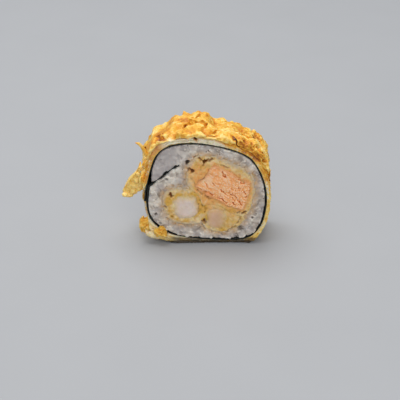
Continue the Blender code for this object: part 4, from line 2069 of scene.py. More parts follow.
@dataclass
class Crust:
    """The fried crust: a pale doughy layer on the seaweed, with golden folds, flakes and drops on top."""

    base_voxel: float = 0.4 * MM
    voxel: float = 0.22 * MM
    most_triangles: int = 195000
    flakes: ScrapRound = ScrapRound(30, (2.6, 4.2), 0.0, 0.45, 0.3)
    chips: ScrapRound = ScrapRound(18, (1.3, 2.2), 0.03, 0.7, 0.25)
    flake_bunch: float = 9.0 * MM
    drops: int = 18
    drop_size: Range = (0.7, 1.5)
    drop_bunch: float = 6.0 * MM
    drop_floor_share: float = 0.08
    rim_lumps: int = 15
    rim_directions: Range = (12.0, 168.0)
    rim_size: Range = (1.1, 2.0)
    rim_height: Range = (2.0, 3.4)
    rim_depth: Range = (0.0, 1.2)
    bare_below: float = 10.0 * MM
    crowded_above: float = 29.0 * MM
    knife_clean_below: float = 35.0 * MM
    sink: float = 2.0 * MM
    fold_height: float = 2.2 * MM
    fold_width: float = 8.0 * MM
    knob_height: float = 0.5 * MM
    knob_width: float = 3.6 * MM
    inner_gap: float = 0.12 * MM
    least_skin: float = 0.5 * MM
    stretch: float = 0.6 * MM
    thin_side: Range = (184.0, 200.0)
    thin_fade: float = 20.0
    layer_width: float = 0.85 * MM
    speckled: tuple[Sector, ...] = (((104.0, 200.0), 16.0), ((-50.0, 62.0), 14.0))
    crumbly: tuple[Sector, ...] = (((136.0, 196.0), 12.0), ((-46.0, 60.0), 14.0))
    thick_dough: Sector = ((86.0, 138.0), 20.0)
    dough_width: Range = (0.65, 1.2)
    fine_width: float = 0.8 * MM
    broad_width: float = 2.3 * MM
    crumb_width: float = 2.0 * MM
    dents: tuple[Dent, ...] = (
        (57.0, 20.0, 1.0, 2.4), (126.0, 12.0, 1.0, 2.4), (147.0, 12.0, 1.0, 2.0), (221.0, 14.0, -1.0, -2.4),
        (148.0, 14.0, -1.0, 1.9), (28.0, 12.0, 1.0, 0.8), (74.0, 18.0, 1.0, 1.5), (52.0, 10.0, -1.0, 0.8),
    )
    torn_back: float = 2.0 * MM
    thin_skin: float = 0.65 * MM
    right_side: Range = (-34.0, 4.0)
    right_fade: float = 26.0
    right_skin: float = 1.5 * MM
    mounds: tuple[Mark, ...] = (
        (-7.0, 0.5, 45.6, 2.0), (-2.6, 1.0, 46.6, 1.7), (-19.5, -5.5, 39.5, 1.9), (2.6, -2.0, 45.4, 2.6),
        (9.6, -1.0, 44.6, 2.2), (13.5, -6.6, 43.4, 2.0), (21.6, -7.4, 37.6, 2.3), (16.6, -1.5, 42.2, 1.8),
        (22.6, -7.6, 33.0, 1.4), (-14.6, -6.0, 43.2, 1.9), (-12.0, 3.5, 44.0, 1.6), (22.8, -2.0, 28.0, 1.2),
        (-21.0, -7.6, 8.4, 1.0), (-20.4, -7.8, 6.4, 1.2), (-19.6, -7.6, 4.6, 1.2), (-2.6, 6.0, 45.8, 1.6),
    )
    face_features: tuple[Mark, ...] = (
        (-3.5, 42.9, 0.8, 1.4), (20.4, 37.8, 0.5, 0.5), (-7.3, 50.2, 1.7, 0.6),
    )
    face_cracks: tuple[Crack, ...] = (
        ((0.6, 44.6), (4.6, 44.3), 0.35, 0.7), ((7.9, 45.2), (12.6, 40.4), 0.32, 0.95),
        ((12.6, 41.6), (16.2, 39.4), 1.0, 0.4), ((16.2, 39.4), (19.0, 35.6), 1.3, 0.55),
    )
    bottom_lift: float = 0.3 * MM
    tip: tuple[Point, ...] = ((-5.4, 5.4, 44.6), (-3.9, 5.8, 46.4), (-2.9, 6.0, 47.6), (-2.1, 6.2, 48.4))
    tip_radii: tuple[float, ...] = (2.2, 1.7, 1.2, 0.6)
    tones: tuple[Mark, ...] = (
        (-7.2, 1.0, 46.6, 3.0, 0.35), (-6.4, 2.0, 48.6, 1.8, -0.3), (-2.4, 6.0, 48.4, 1.6, 0.4),
        (-13.0, 2.0, 46.4, 1.8, -0.4), (-20.0, -6.0, 39.0, 2.2, 0.25), (-17.6, -6.5, 41.6, 1.6, -0.2),
        (21.4, -7.5, 38.0, 2.6, -0.35), (12.0, -6.0, 44.6, 2.4, -0.2), (23.4, -7.5, 32.0, 1.6, 0.4),
        (1.5, -5.5, 46.2, 3.2, 0.25), (-10.0, -6.5, 43.8, 3.0, 0.15), (16.0, -3.0, 43.4, 3.0, 0.2),
        (-17.0, -4.0, 42.6, 6.0, 0.32), (15.4, -8.0, 41.4, 3.0, 0.22), (18.6, -8.6, 37.4, 3.0, 0.3),
    )
    nicks: tuple[Mark, ...] = (
        (-18.0, -4.0, 43.4, 0.9, 0.9), (-15.4, -4.6, 43.6, 0.8, 0.8), (-17.2, -6.4, 41.8, 0.8, 0.7),
        (-18.8, -7.2, 40.2, 0.7, 0.7), (-14.8, -6.6, 42.8, 0.6, 0.6), (-7.4, -1.4, 44.6, 1.0, 0.9),
        (-4.6, 3.6, 46.0, 0.9, 0.5), (7.8, -4.2, 44.4, 0.8, 0.6), (13.4, -2.4, 43.6, 0.9, 0.8),
        (22.6, -6.4, 35.6, 0.8, 0.35), (23.2, -7.2, 30.4, 0.9, 0.8), (21.0, -1.4, 39.4, 0.9, 0.9),
        (-10.6, 2.4, 45.0, 0.8, 0.7), (-9.6, 3.4, 47.2, 1.5, 0.8), (3.0, 3.2, 45.6, 1.0, 0.9),
        (-1.6, -3.6, 45.2, 0.7, 0.6), (10.4, 4.0, 44.6, 1.0, 0.9), (-19.4, 2.6, 41.0, 0.9, 0.9),
        (17.8, 5.0, 42.0, 0.9, 0.9),
    )
    # Painted shade: carved holes, cracks, specks and nicks are painted darker, by one whole step at this
    # depth.
    carved_shade_depth: float = 2.9 * MM
    lower_part: Range = (12.0 * MM, 28.0 * MM)
    # The foot's darkening is painted shade with some oil, and its lowest line a painted contact shadow.
    oily_foot_shade_height: Range = (1.8 * MM, 3.2 * MM)
    oily_foot_shade_from: Range = (-18.0 * MM, -10.0 * MM)
    contact_shadow_height: Range = (1.05 * MM, 1.5 * MM)
    contact_shadow_from: Range = (-21.0 * MM, -15.0 * MM)
    contact_shadow_to: Range = (17.5 * MM, 20.0 * MM)
    skirt: tuple[Point, ...] = (
        (-15.4, -7.6, 2.2), (-17.6, -7.9, 2.7), (-19.8, -8.0, 3.3), (-21.8, -7.9, 4.1), (-23.4, -7.6, 5.2),
    )
    skirt_radii: tuple[float, ...] = (0.9, 1.2, 1.3, 1.15, 0.7)
    pale_spots: tuple[Mark, ...] = ((-20.4, 4.2, 3.4, 1.0),)
    curl: tuple[Point, ...] = (
        (-21.4, -5.8, 35.4), (-22.4, -6.0, 37.4), (-23.3, -6.3, 39.2), (-24.3, -6.6, 40.4),
        (-25.6, -6.8, 40.9),
    )
    curl_radii: tuple[float, ...] = (1.0, 0.75, 0.6, 0.5, 0.22)
    curl_voxel: float = 0.14 * MM
    knife_softness: float = 0.12 * MM
    finish: FriedBatter = field(default_factory=FriedBatter)

    def __post_init__(self) -> None:
        """Reads the seaweed that the crust lies on."""
        self.rng = np.random.default_rng(9)
        self.scraps = Scraps(self.rng)
        self.material = self.finish.make()
        self.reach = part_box("nori")[1].y
        self.nori = {side: cut_loops("nori", side) for side in Side}
        ring = np.concatenate(self.nori[Side.FRONT])
        self.middle = 0.5 * (ring.min(axis=0) + ring.max(axis=0))
        self.inner = {
            side: Profile(densified(np.concatenate(self.nori[side]), 6), self.middle) for side in Side
        }
        solid = read(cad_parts["crust"].data.vertices, "co", 3)
        self.outline = {
            side: Profile(solid[side.value * solid[:, 1] > 0.3 * self.reach][:, [0, 2]], self.middle)
            for side in Side
        }

    def seaweed_reach(self, points: Array) -> tuple[Array, Array, Array]:
        """Where points lie round the roll.

        Args:
            points: rows of (x, y, z).

        Returns:
            Each one's direction in degrees, its distance from the middle, and the seaweed's there.
        """
        angle, radius = Profile.polar(points[:, [0, 2]], self.middle)
        return angle, radius, self.blended(points, (self.inner[side].at(angle) for side in Side))

    def blended(self, points: Array, ends: Iterable[Array]) -> Array:
        """Goes over from what holds at the front face to what holds at the back.

        Args:
            points: rows of (x, y, z).
            ends: the numbers at the front and those at the back.

        Returns:
            One number for each point.
        """
        share = np.clip(0.5 + 0.5 * points[:, 1] / self.reach, 0.0, 1.0)
        front, back = ends
        return (1 - share) * front + share * back

    @staticmethod
    def within(angle: Array, span: Range, fade: float) -> Array:
        """Tells which directions lie in a span.

        Args:
            angle: directions in degrees.
            span: where the span starts and ends.
            fade: how far outside it the answer fades out.

        Returns:
            1 in the span and 0 outside it, for each direction.
        """
        middle, half = 0.5 * (span[0] + span[1]), 0.5 * (span[1] - span[0])
        away = np.abs((angle - middle + 180.0) % 360.0 - 180.0)
        return 1.0 - smooth_step(away, half, half + fade)

    def thinned(self, points: Array) -> Array:
        """Draws the crust in where it is a mere skin, and keeps it off the seaweed's inside.

        Args:
            points: rows of (x, y, z).

        Returns:
            The moved points.
        """
        angle, radius, seaweed = self.seaweed_reach(points)
        over = radius - seaweed
        skin = 1.0 + 0.35 * rough(points, 3 * MM, 2, 57)
        inner = smooth_step(points[:, 1], -0.55 * self.reach, 0.3 * self.reach)
        for span, fade, thickness in (
            (self.thin_side, self.thin_fade, self.thin_skin),
            (self.right_side, self.right_fade, self.right_skin),
        ):
            share = self.within(angle, span, fade)
            allowed = thickness * skin + 0.9 * MM * inner
            excess = np.maximum(over - allowed, 0.0)
            over = over - share * 0.93 * excess
        over -= (over + self.inner_gap) * smooth_step(over, self.least_skin, 0.3 * self.least_skin)
        wanted = seaweed + np.maximum(over, -self.inner_gap)
        most = self.blended(points, (self.outline[side].at(angle) for side in Side)) - 0.2 * MM
        for dent_angle, span, end, deep in self.dents:
            towards = smooth_step(end * points[:, 1] / self.reach, -0.6, 0.5)
            most -= deep * MM * towards * self.within(angle, (dent_angle - 1.0, dent_angle + 1.0), span)
        wanted -= 0.7 * np.maximum(wanted - most, 0.0)
        wanted = np.maximum(wanted, np.minimum(radius, seaweed + self.least_skin))
        return self.moved(points, radius, wanted)

    def moved(self, points: Array, radius: Array, wanted: Array) -> Array:
        """Moves points in or out from the roll's middle.

        Args:
            points: rows of (x, y, z).
            radius: their distances from the middle.
            wanted: the distances that they get.

        Returns:
            The moved points.
        """
        scale = (wanted / np.maximum(radius, MM))[:, None]
        flat = self.middle + (points[:, [0, 2]] - self.middle) * scale
        return np.stack([flat[:, 0], points[:, 1], flat[:, 1]], axis=1)

    def base(self) -> Object:
        """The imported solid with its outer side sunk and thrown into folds.

        Returns:
            A closed mesh.
        """
        base = node_copy("crust", "crust_base")
        fuse(base, self.base_voxel)
        skin = Skin(base)
        angle, radius, seaweed = self.seaweed_reach(skin.points)
        flat = skin.points[:, [0, 2]] - self.middle
        towards = np.einsum("ij,ij->i", skin.normals()[:, [0, 2]], flat) / radius
        wall = Profile(skin.points[towards < -0.5][:, [0, 2]], self.middle).at(angle)
        closed = radius - (wall - seaweed) * smooth_step(radius - wall, 1.6 * MM, 0.0)
        outer = smooth_step(closed - seaweed, 0.35 * MM, 0.9 * MM)
        high = smooth_step(skin.points[:, 2], 12 * MM, 30 * MM)
        lumps = self.fold_height * folds(skin.points, self.fold_width, 2, 53)
        knobs = self.knob_height * folds(skin.points, self.knob_width, 2, 56)
        rise = high * (lumps + knobs - self.sink) + (1.0 - high) * (0.8 * knobs + 0.3 * lumps - 0.5 * MM)
        inward = smooth_step(closed - seaweed, 0.6 * MM, 0.3 * MM) * 0.45 * MM
        wanted = np.maximum(closed + outer * rise, np.minimum(closed, seaweed + self.least_skin)) - inward
        skin.points = self.moved(skin.points, radius, wanted)
        skin.points = self.thinned(skin.points)
        skin.write()
        return base

    def outer_spots(
        self, base: Object, count: int, floor_share: float, lump: float,
    ) -> tuple[Array, Array]:
        """Picks spots on the crust's outer side, crowded on top and rare low down.

        Args:
            base: the mesh to pick them on.
            count: how many.
            floor_share: how likely a spot low on the side is, against one on top.
            lump: the width of the bunches that the spots gather in.

        Returns:
            The spots and the outward normals there.
        """
        base.data.calc_loop_triangles()
        points = read(base.data.vertices, "co", 3)
        corners = points[read(base.data.loop_triangles, "vertices", 3, np.int32)]
        cross = np.cross(corners[:, 1] - corners[:, 0], corners[:, 2] - corners[:, 0])
        area = np.linalg.norm(cross, axis=1) + 1e-18
        normals = cross / area[:, None]
        centres = corners.mean(axis=1)
        away = centres[:, [0, 2]] - self.middle
        away /= np.linalg.norm(away, axis=1)[:, None]
        outward = np.einsum("ij,ij->i", normals[:, [0, 2]], away) > 0.35
        high_up = smooth_step(centres[:, 2], self.bare_below, self.crowded_above)
        crowd = floor_share + (1 - floor_share) * high_up
        crowd *= smooth_step(centres[:, 2], 1.5 * MM, 4 * MM)
        crowd *= 0.15 + smooth_step(rough(centres, lump, 1, 51), -0.3, 0.35)
        weight = area * outward * crowd
        chosen = self.rng.choice(len(area), count, p=weight / weight.sum())
        shares = self.rng.dirichlet([1, 1, 1], count)
        return np.einsum("nk,nkj->nj", shares, corners[chosen]), normals[chosen]

    def heap(self) -> Object:
        """Gathers the folded base, its flakes, drops, mounds and curl, before they are fused.

        Returns:
            One mesh of many shapes that overlap.
        """
        heap = Heap()
        base = self.base()
        rng = self.rng
        for count, sizes, floor_share, tilt, sunk in (self.flakes, self.chips):
            spots, normals = self.outer_spots(base, count, floor_share, self.flake_bunch)
            for spot, normal in zip(spots, normals):
                half = rng.uniform(*sizes) * MM
                if spot[2] < self.knife_clean_below:
                    spot[1] = np.clip(spot[1], 0.9 * half - self.reach, self.reach - 0.9 * half)
                heap.add(*self.scraps.flake(spot - sunk * half * normal, normal, half, tilt))
        spots, normals = self.outer_spots(base, self.drops, self.drop_floor_share, self.drop_bunch)
        for spot, normal in zip(spots, normals):
            size = rng.uniform(*self.drop_size) * MM
            heap.add(*self.scraps.drop(spot + 0.1 * size * normal, size))
        for x, y, z, radius in self.mounds:
            heap.add(*self.scraps.drop(np.array([x, y, z]) * MM, radius * MM))
        for side in Side:
            for angle in rng.uniform(*self.rim_directions, self.rim_lumps):
                way = np.array([math.cos(math.radians(angle)), math.sin(math.radians(angle))])
                size = rng.uniform(*self.rim_size) * MM
                far = self.inner[side].at(np.array([angle]))[0] + rng.uniform(*self.rim_height) * MM
                spot = self.middle + far * way
                across = side.value * (self.reach - rng.uniform(*self.rim_depth) * MM)
                heap.add(*self.scraps.drop(np.array([spot[0], across, spot[1]]), size))
        heap.add(*self.scraps.horn(self.skirt, self.skirt_radii))
        heap.add(*self.scraps.horn(self.tip, self.tip_radii))
        heap.add_object(base)
        return heap.make("crust_fried")

    def depth(self, points: Array) -> Array:
        """Distance of points from the seaweed, which the browning follows."""
        return self.blended(points, (distance_to(points[:, [0, 2]], self.nori[side]) for side in Side))

    def cut(self, skin: Skin) -> Array:
        """Levels the doughy layer with the cut faces and carves their holes and cracks.

        Args:
            skin: the fused crust; its points are moved.

        Returns:
            How deep each vertex was carved.
        """
        depth = self.depth(skin.points) + 0.7 * MM * rough(skin.points * SECTION, 3.5 * MM, 2, 60)
        carved = np.zeros(len(depth))
        spare = 1.5 * MM * smooth_step(depth, 1.6 * MM, 3.0 * MM) - 0.05 * MM
        uneven = 0.22 * MM * rough(skin.points * SECTION, 1.6 * MM, 3, 61)
        for side in Side:
            outward = side.value * skin.points[:, 1]
            outward += self.stretch * smooth_step(outward, self.reach - 2.0 * MM, self.reach - 0.6 * MM)
            skin.points[:, 1] = side.value * outward
            torn = 0.0
            if side is Side.FRONT:
                angle = Profile.polar(skin.points[:, [0, 2]], self.middle)[0]
                torn = self.within(angle, self.thin_side, 10.0) * (self.torn_back + 3.0 * uneven)
            height = outward - (self.reach + spare + uneven - torn)
            soft = self.knife_softness
            level = np.where(height > -3 * soft, levelled(height, soft), height)
            skin.points[:, 1] += side.value * (level - height)
            if side is Side.FRONT:
                near = smooth_step(outward, self.reach - 2.6 * MM, self.reach - 0.6 * MM)
                spots, flat = warped(skin.points[:, [0, 2]], 3.0 * MM, 0.8 * MM, 62), skin.points * SECTION
                # The holes, cracks and specks dug here are painted darker by the tint, as shade in them.
                holes = MM * marks(spots, self.face_features, 1.35, 0.2)
                dig = np.maximum(holes, crack_depth(spots, self.face_cracks, 1.6, 0.3, np.maximum))
                specks = smooth_step(cells(flat, 1.2 * MM, 70), 0.36, 0.12)
                specks *= smooth_step(rough(flat, 2.4 * MM, 1, 72), -0.3, 0.2)
                sides = sum(self.within(angle, *sector) for sector in self.speckled)
                dig = np.maximum(dig, 0.42 * MM * specks * sides * smooth_step(depth, 0.3 * MM, 0.8 * MM))
                skin.points[:, 1] += dig * near
                carved += dig * near
        return carved

    def build_curl(self) -> None:
        """Makes the thin curl of batter that stands off the crust's upper left."""
        heap = Heap()
        heap.add(*self.scraps.horn(self.curl, self.curl_radii))
        curl = heap.make("crust_curl")
        fuse(curl, self.curl_voxel)
        skin = Skin(curl)
        skin.smooth(3, 0.4)
        skin.points += skin.normals() * (0.12 * MM * rough(skin.points, 1.2 * MM, 2, 65))[:, None]
        skin.write()
        skin.paint(browned=-0.2 + 0.4 * smooth_step(skin.points[:, 0], -24 * MM, -25.6 * MM))
        settle(curl, "fried_crust", self.material)

    def build(self) -> None:
        """Fuses the crust, cuts it, roughens it and paints its browning, with painted shade in its hollows
        and at its foot.
        """
        self.build_curl()
        crust = self.heap()
        fuse(crust, self.voxel)
        skin = Skin(crust)
        skin.smooth(14, 0.5)
        skin.points = self.thinned(skin.points)
        fine = self.roughened(skin)
        carved = self.cut(skin)
        carved += 0.4 * self.nicked(skin)
        layers = self.layers(skin.points)
        across = skin.points[:, 1]
        at_cut = np.sign(across) * (np.abs(across) > 0.93 * self.reach)
        skin.points[:, 1] = across + 0.1 * MM * layers * at_cut
        towards = 0.5 * MM * fine - skin.points[:, 1]
        rise = smooth_step(towards, self.reach - 3.0 * MM, self.reach + 0.2 * MM)
        skin.points[:, 2] = np.maximum(skin.points[:, 2], 0.02 * MM + self.bottom_lift * rise)
        skin.paint(layers=layers)
        self.tint(skin, carved, fine)
        thin_out(crust, self.most_triangles)
        settle(crust, "fried_crust", self.material, "crust")

    def roughened(self, skin: Skin) -> Array:
        """Covers the crust with crumbs, fewest on the dough and in its smoother zones.

        Args:
            skin: the fused crust; its points are moved.

        Returns:
            Fine noise at each vertex, which other steps follow.
        """
        outer = smooth_step(self.depth(skin.points), 0.5 * MM, 1.4 * MM)
        fine = rough(skin.points, self.fine_width, 2, 54)
        broad = rough(skin.points, self.broad_width, 2, 55)
        bent = skin.points + 0.4 * MM * np.stack([fine, broad, -fine], axis=1)
        zones = rough(skin.points, 7 * MM, 1, 68) + 0.03 * skin.points[:, 0] / MM
        crumbly = 0.3 + 0.7 * smooth_step(zones, -0.25, 0.3)
        crumbs = 0.36 * (0.45 - cells(bent, self.crumb_width, 58))
        crumbs += 0.2 * (0.45 - cells(bent, 0.5 * self.crumb_width, 59))
        rise = outer * (0.06 * fine + 0.14 * broad + crumbly * crumbs) + 0.03 * fine
        skin.points += skin.normals() * (rise * MM)[:, None]
        return fine

    def nicked(self, skin: Skin) -> Array:
        """Digs the nicks between the folds, which the tint paints dark as shade.

        Args:
            skin: the cut crust; its points are moved.

        Returns:
            How deep each vertex was dug.
        """
        bend = np.stack([rough(skin.points, 1.8 * MM, 2, seed) for seed in (91, 92, 93)], axis=1)
        dig = MM * marks(skin.points + 0.7 * MM * bend, self.nicks, 1.5, 0.2, np.add)
        skin.points -= dig[:, None] * skin.normals()
        return dig

    def layers(self, points: Array) -> Array:
        """The dough's layers round the seaweed, where a cut face shows them.

        Args:
            points: rows of (x, y, z).

        Returns:
            About -1 to 1 for each point.
        """
        flat = points * SECTION
        wavy = self.depth(points) + 0.5 * MM * rough(flat, 4 * MM, 2, 66)
        strong = smooth_step(rough(flat, 6 * MM, 1, 67), -0.3, 0.2)
        return 0.5 * rough(flat, 1.7 * MM, 2, 69) + strong * np.sin(2 * math.pi * wavy / self.layer_width)

    def tint(self, skin: Skin, carved: Array, fine: Array) -> None:
        """Stores what the finish reads: browning with painted shade in hollows and cuts, dough, and a shaded
        oily foot.

        Args:
            skin: the finished surface.
            carved: how deep each vertex was carved.
            fine: fine noise at each vertex.
        """
        points = skin.points
        wide = np.clip(skin.hollowness(50) / (0.5 * MM), -1.5, 1.8)
        narrow = np.clip(skin.hollowness(10) / (0.15 * MM), -1.5, 1.5)
        broad = rough(points, 4.5 * MM, 2, 63)
        lower = 1.0 - smooth_step(points[:, 2], *self.lower_part)
        # Painted shade and light: hollows and carved spots darker, ridges paler, over browning that follows
        # broad noise and the tones.
        browned = 0.42 * wide + 0.2 * narrow + carved / self.carved_shade_depth + 0.3 * broad
        browned += marks(points, self.tones, 1.2, 0.3, np.add) - 0.2 * lower
        bare = 1.0 - np.clip(1.2 * carved / MM, 0, 1)
        skin.paint(
            browned=np.clip(browned, -1.2, 0.66) + 0.2 * (carved > 0.7 * MM),
            doughy=self.doughy(skin, lower, broad, fine) * bare, soaked=self.soaked(points, broad, fine),
        )

    def doughy(self, skin: Skin, lower: Array, broad: Array, fine: Array) -> Array:
        """Where pale dough shows: beside the seaweed at a cut face, and low on the outer side.

        Args:
            skin: the finished surface.
            lower: 1 at each vertex low on the roll, 0 on top.
            broad: broad noise at each vertex.
            fine: fine noise at each vertex.

        Returns:
            0 to 1 for each vertex.
        """
        angle = Profile.polar(skin.points[:, [0, 2]], self.middle)[0]
        least, more = self.dough_width
        band = (least + more * self.within(angle, *self.thick_dough)) * MM
        edge = self.depth(skin.points) + (0.5 * broad + 0.3 * fine) * MM - band
        facing = smooth_step(np.abs(skin.normals()[:, 1]), 0.15, 0.55)
        doughy = (1.0 - smooth_step(edge, -0.35 * MM, 0.7 * MM)) * np.maximum(facing, 0.8 * lower)
        sides = lower * smooth_step(rough(skin.points, 2.6 * MM, 3, 64), 0.6, -0.5)
        doughy = np.maximum(doughy, 0.62 * sides)
        crumbly = np.max([self.within(angle, *sector) for sector in self.crumbly], axis=0)
        crumbly *= smooth_step(broad + 0.9 * fine, -0.7, -0.05)
        doughy *= 1.0 - 0.85 * crumbly
        pale = marks(skin.points[:, [0, 2]], self.pale_spots, 1.2, 0.7)
        return np.maximum(doughy, (0.62 + 0.3 * fine) * pale)

    def soaked(self, points: Array, broad: Array, fine: Array) -> Array:
        """How dark the crust's foot is painted: shade with some oil low down, and a painted contact shadow at
        the front's bottom edge where it stands.

        Args:
            points: rows of (x, y, z).
            broad: broad noise at each.
            fine: fine noise at each.

        Returns:
            0 to 1 for each point.
        """
        x, y, z = points.T
        inside = smooth_step(y, -3 * MM, -7 * MM)
        height = z + (0.6 * broad + 0.2 * fine) * MM
        oily_foot_shade = (0.3 + 0.5 * inside) * (1.0 - smooth_step(height, *self.oily_foot_shade_height))
        oily_foot_shade *= 0.25 + 0.75 * smooth_step(x, *self.oily_foot_shade_from)
        front = smooth_step(y + 0.4 * MM * broad, 1.6 * MM - self.reach, 0.5 * MM - self.reach)
        contact_shadow = (0.3 + 0.68 * front) * (1.0 - smooth_step(z + 0.2 * MM * broad, *self.contact_shadow_height))
        contact_shadow *= 0.3 + 0.7 * smooth_step(x, *self.contact_shadow_from)
        contact_shadow *= 1.0 - 0.7 * smooth_step(x, *self.contact_shadow_to)
        return np.maximum(oily_foot_shade, contact_shadow)


@dataclass
class LooseScrap:
    """One bigger scrap of crust that hangs or lies beside the roll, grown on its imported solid."""

    node: str
    piece: str
    crust: Crust
    seed: int
    bits: int = 26
    bit_size: tuple[float, float] = (0.5, 1.2)
    extra_brown: float = 0.0
    voxel: float = 0.2 * MM
    most_triangles: int = 40000
    lumps: tuple[Mark, ...] = ()
    edge: tuple[Spot, ...] = ()
    toasted_rim: float = 0.0

    def build(self) -> None:
        """Fuses the solid with small flakes and roughens it."""
        rng = np.random.default_rng(self.seed)
        scraps = Scraps(rng)
        base = node_copy(self.node, self.piece + "_base")
        skin = Skin(base)
        normals = skin.normals()
        chosen = rng.integers(0, len(skin.points), self.bits)
        skin.points -= normals * (0.3 * MM)
        places = skin.points[chosen].copy()
        skin.write()
        heap = Heap()
        heap.add_object(base)
        for place, normal in zip(places, normals[chosen]):
            size = rng.uniform(*self.bit_size) * MM
            heap.add(*scraps.flake(place, normal, size, 0.8))
        for x, y, z, radius in self.lumps:
            heap.add(*scraps.drop(np.array([x, y, z]) * MM, radius * MM))
        made = heap.make(self.piece)
        fuse(made, self.voxel)
        skin = Skin(made)
        skin.smooth(2, 0.35)
        fine = rough(skin.points, 0.7 * MM, 2, self.seed)
        crumbs = 0.4 * (0.45 - cells(skin.points + 0.3 * MM * fine[:, None], 1.3 * MM, self.seed))
        skin.points += skin.normals() * ((0.12 * fine + crumbs) * MM)[:, None]
        # Painted shade: hollows are painted browner; extra_brown shifts the whole scrap.
        browned = 0.35 * skin.hollowness(20) / (0.3 * MM) + self.extra_brown
        if self.edge:
            skin.points = pulled_in(skin.points, self.edge, np.full(len(skin.points), 0.9))
            skin.write()
            to_edge = distance_to(skin.points[:, [0, 2]], [np.array(self.edge) * MM])
            browned += self.toasted_rim * (1.0 - smooth_step(to_edge, 0.3 * MM, 1.6 * MM))
        skin.paint(browned=browned)
        thin_out(made, self.most_triangles)
        settle(made, "fried_crust", self.crust.material, self.node)


# ---------------------------------------------------------------- the studio


@dataclass
class Studio:
    """A plain pale floor, soft light and the camera that looks down on the cut face."""

    camera_place: Point = (-1.99 * MM, -381.5 * MM, 216.0 * MM)
    camera_pitch: float = math.radians(27.94)
    view_angle: float = math.radians(20.0)
    floor_radius: float = 6.0
    floor_corners: int = 96
    sky: str = "d9dde3"
    sky_strength: float = 0.5
    key_light: tuple[Point, float, float] = ((-0.12, 0.18, 0.88), 0.8, 7.8)
    fill_light: tuple[Point, float, float] = ((0.12, -0.95, 0.65), 0.8, 5.2)
    finish: PaintedBoard = field(default_factory=PaintedBoard)

    def build(self) -> None:
        """Makes the floor, the lights, the sky and the camera."""
        scene = bpy.context.scene
        scene.view_settings.view_transform = "Standard"
        turn = 2 * math.pi * np.arange(self.floor_corners) / self.floor_corners
        rim = self.floor_radius * np.stack([np.cos(turn), np.sin(turn), 0 * turn], axis=1)
        floor = mesh_object("floor", rim, [list(range(self.floor_corners))])
        floor.data.materials.append(self.finish.make())
        world = bpy.data.worlds.new("studio")
        world.use_nodes = True
        background = world.node_tree.nodes["Background"]
        background.inputs["Color"].default_value = linear(self.sky)
        background.inputs["Strength"].default_value = self.sky_strength
        scene.world = world
        self.softbox("key", *self.key_light)
        self.softbox("fill", *self.fill_light)
        lens = bpy.data.cameras.new("camera")
        lens.angle = self.view_angle
        lens.clip_start = 0.01
        camera = bpy.data.objects.new("camera", lens)
        camera.location = self.camera_place
        camera.rotation_euler = (math.pi / 2 - self.camera_pitch, 0.0, 0.0)
        scene.collection.objects.link(camera)
        scene.camera = camera

    @staticmethod
    def softbox(name: str, place: Point, size: float, power: float) -> None:
        """A square soft light that faces the roll.

        Args:
            name: the light's name.
            place: where it hangs.
            size: the side of its square.
            power: in watts.
        """
        light = bpy.data.lights.new(name, "AREA")
        light.size = size
        light.energy = power
        holder = bpy.data.objects.new(name, light)
        holder.location = place
        aim = Vector((0.0, 0.0, 0.02)) - Vector(place)
        holder.rotation_euler = aim.to_track_quat("-Z", "Y").to_euler()
        bpy.context.scene.collection.objects.link(holder)


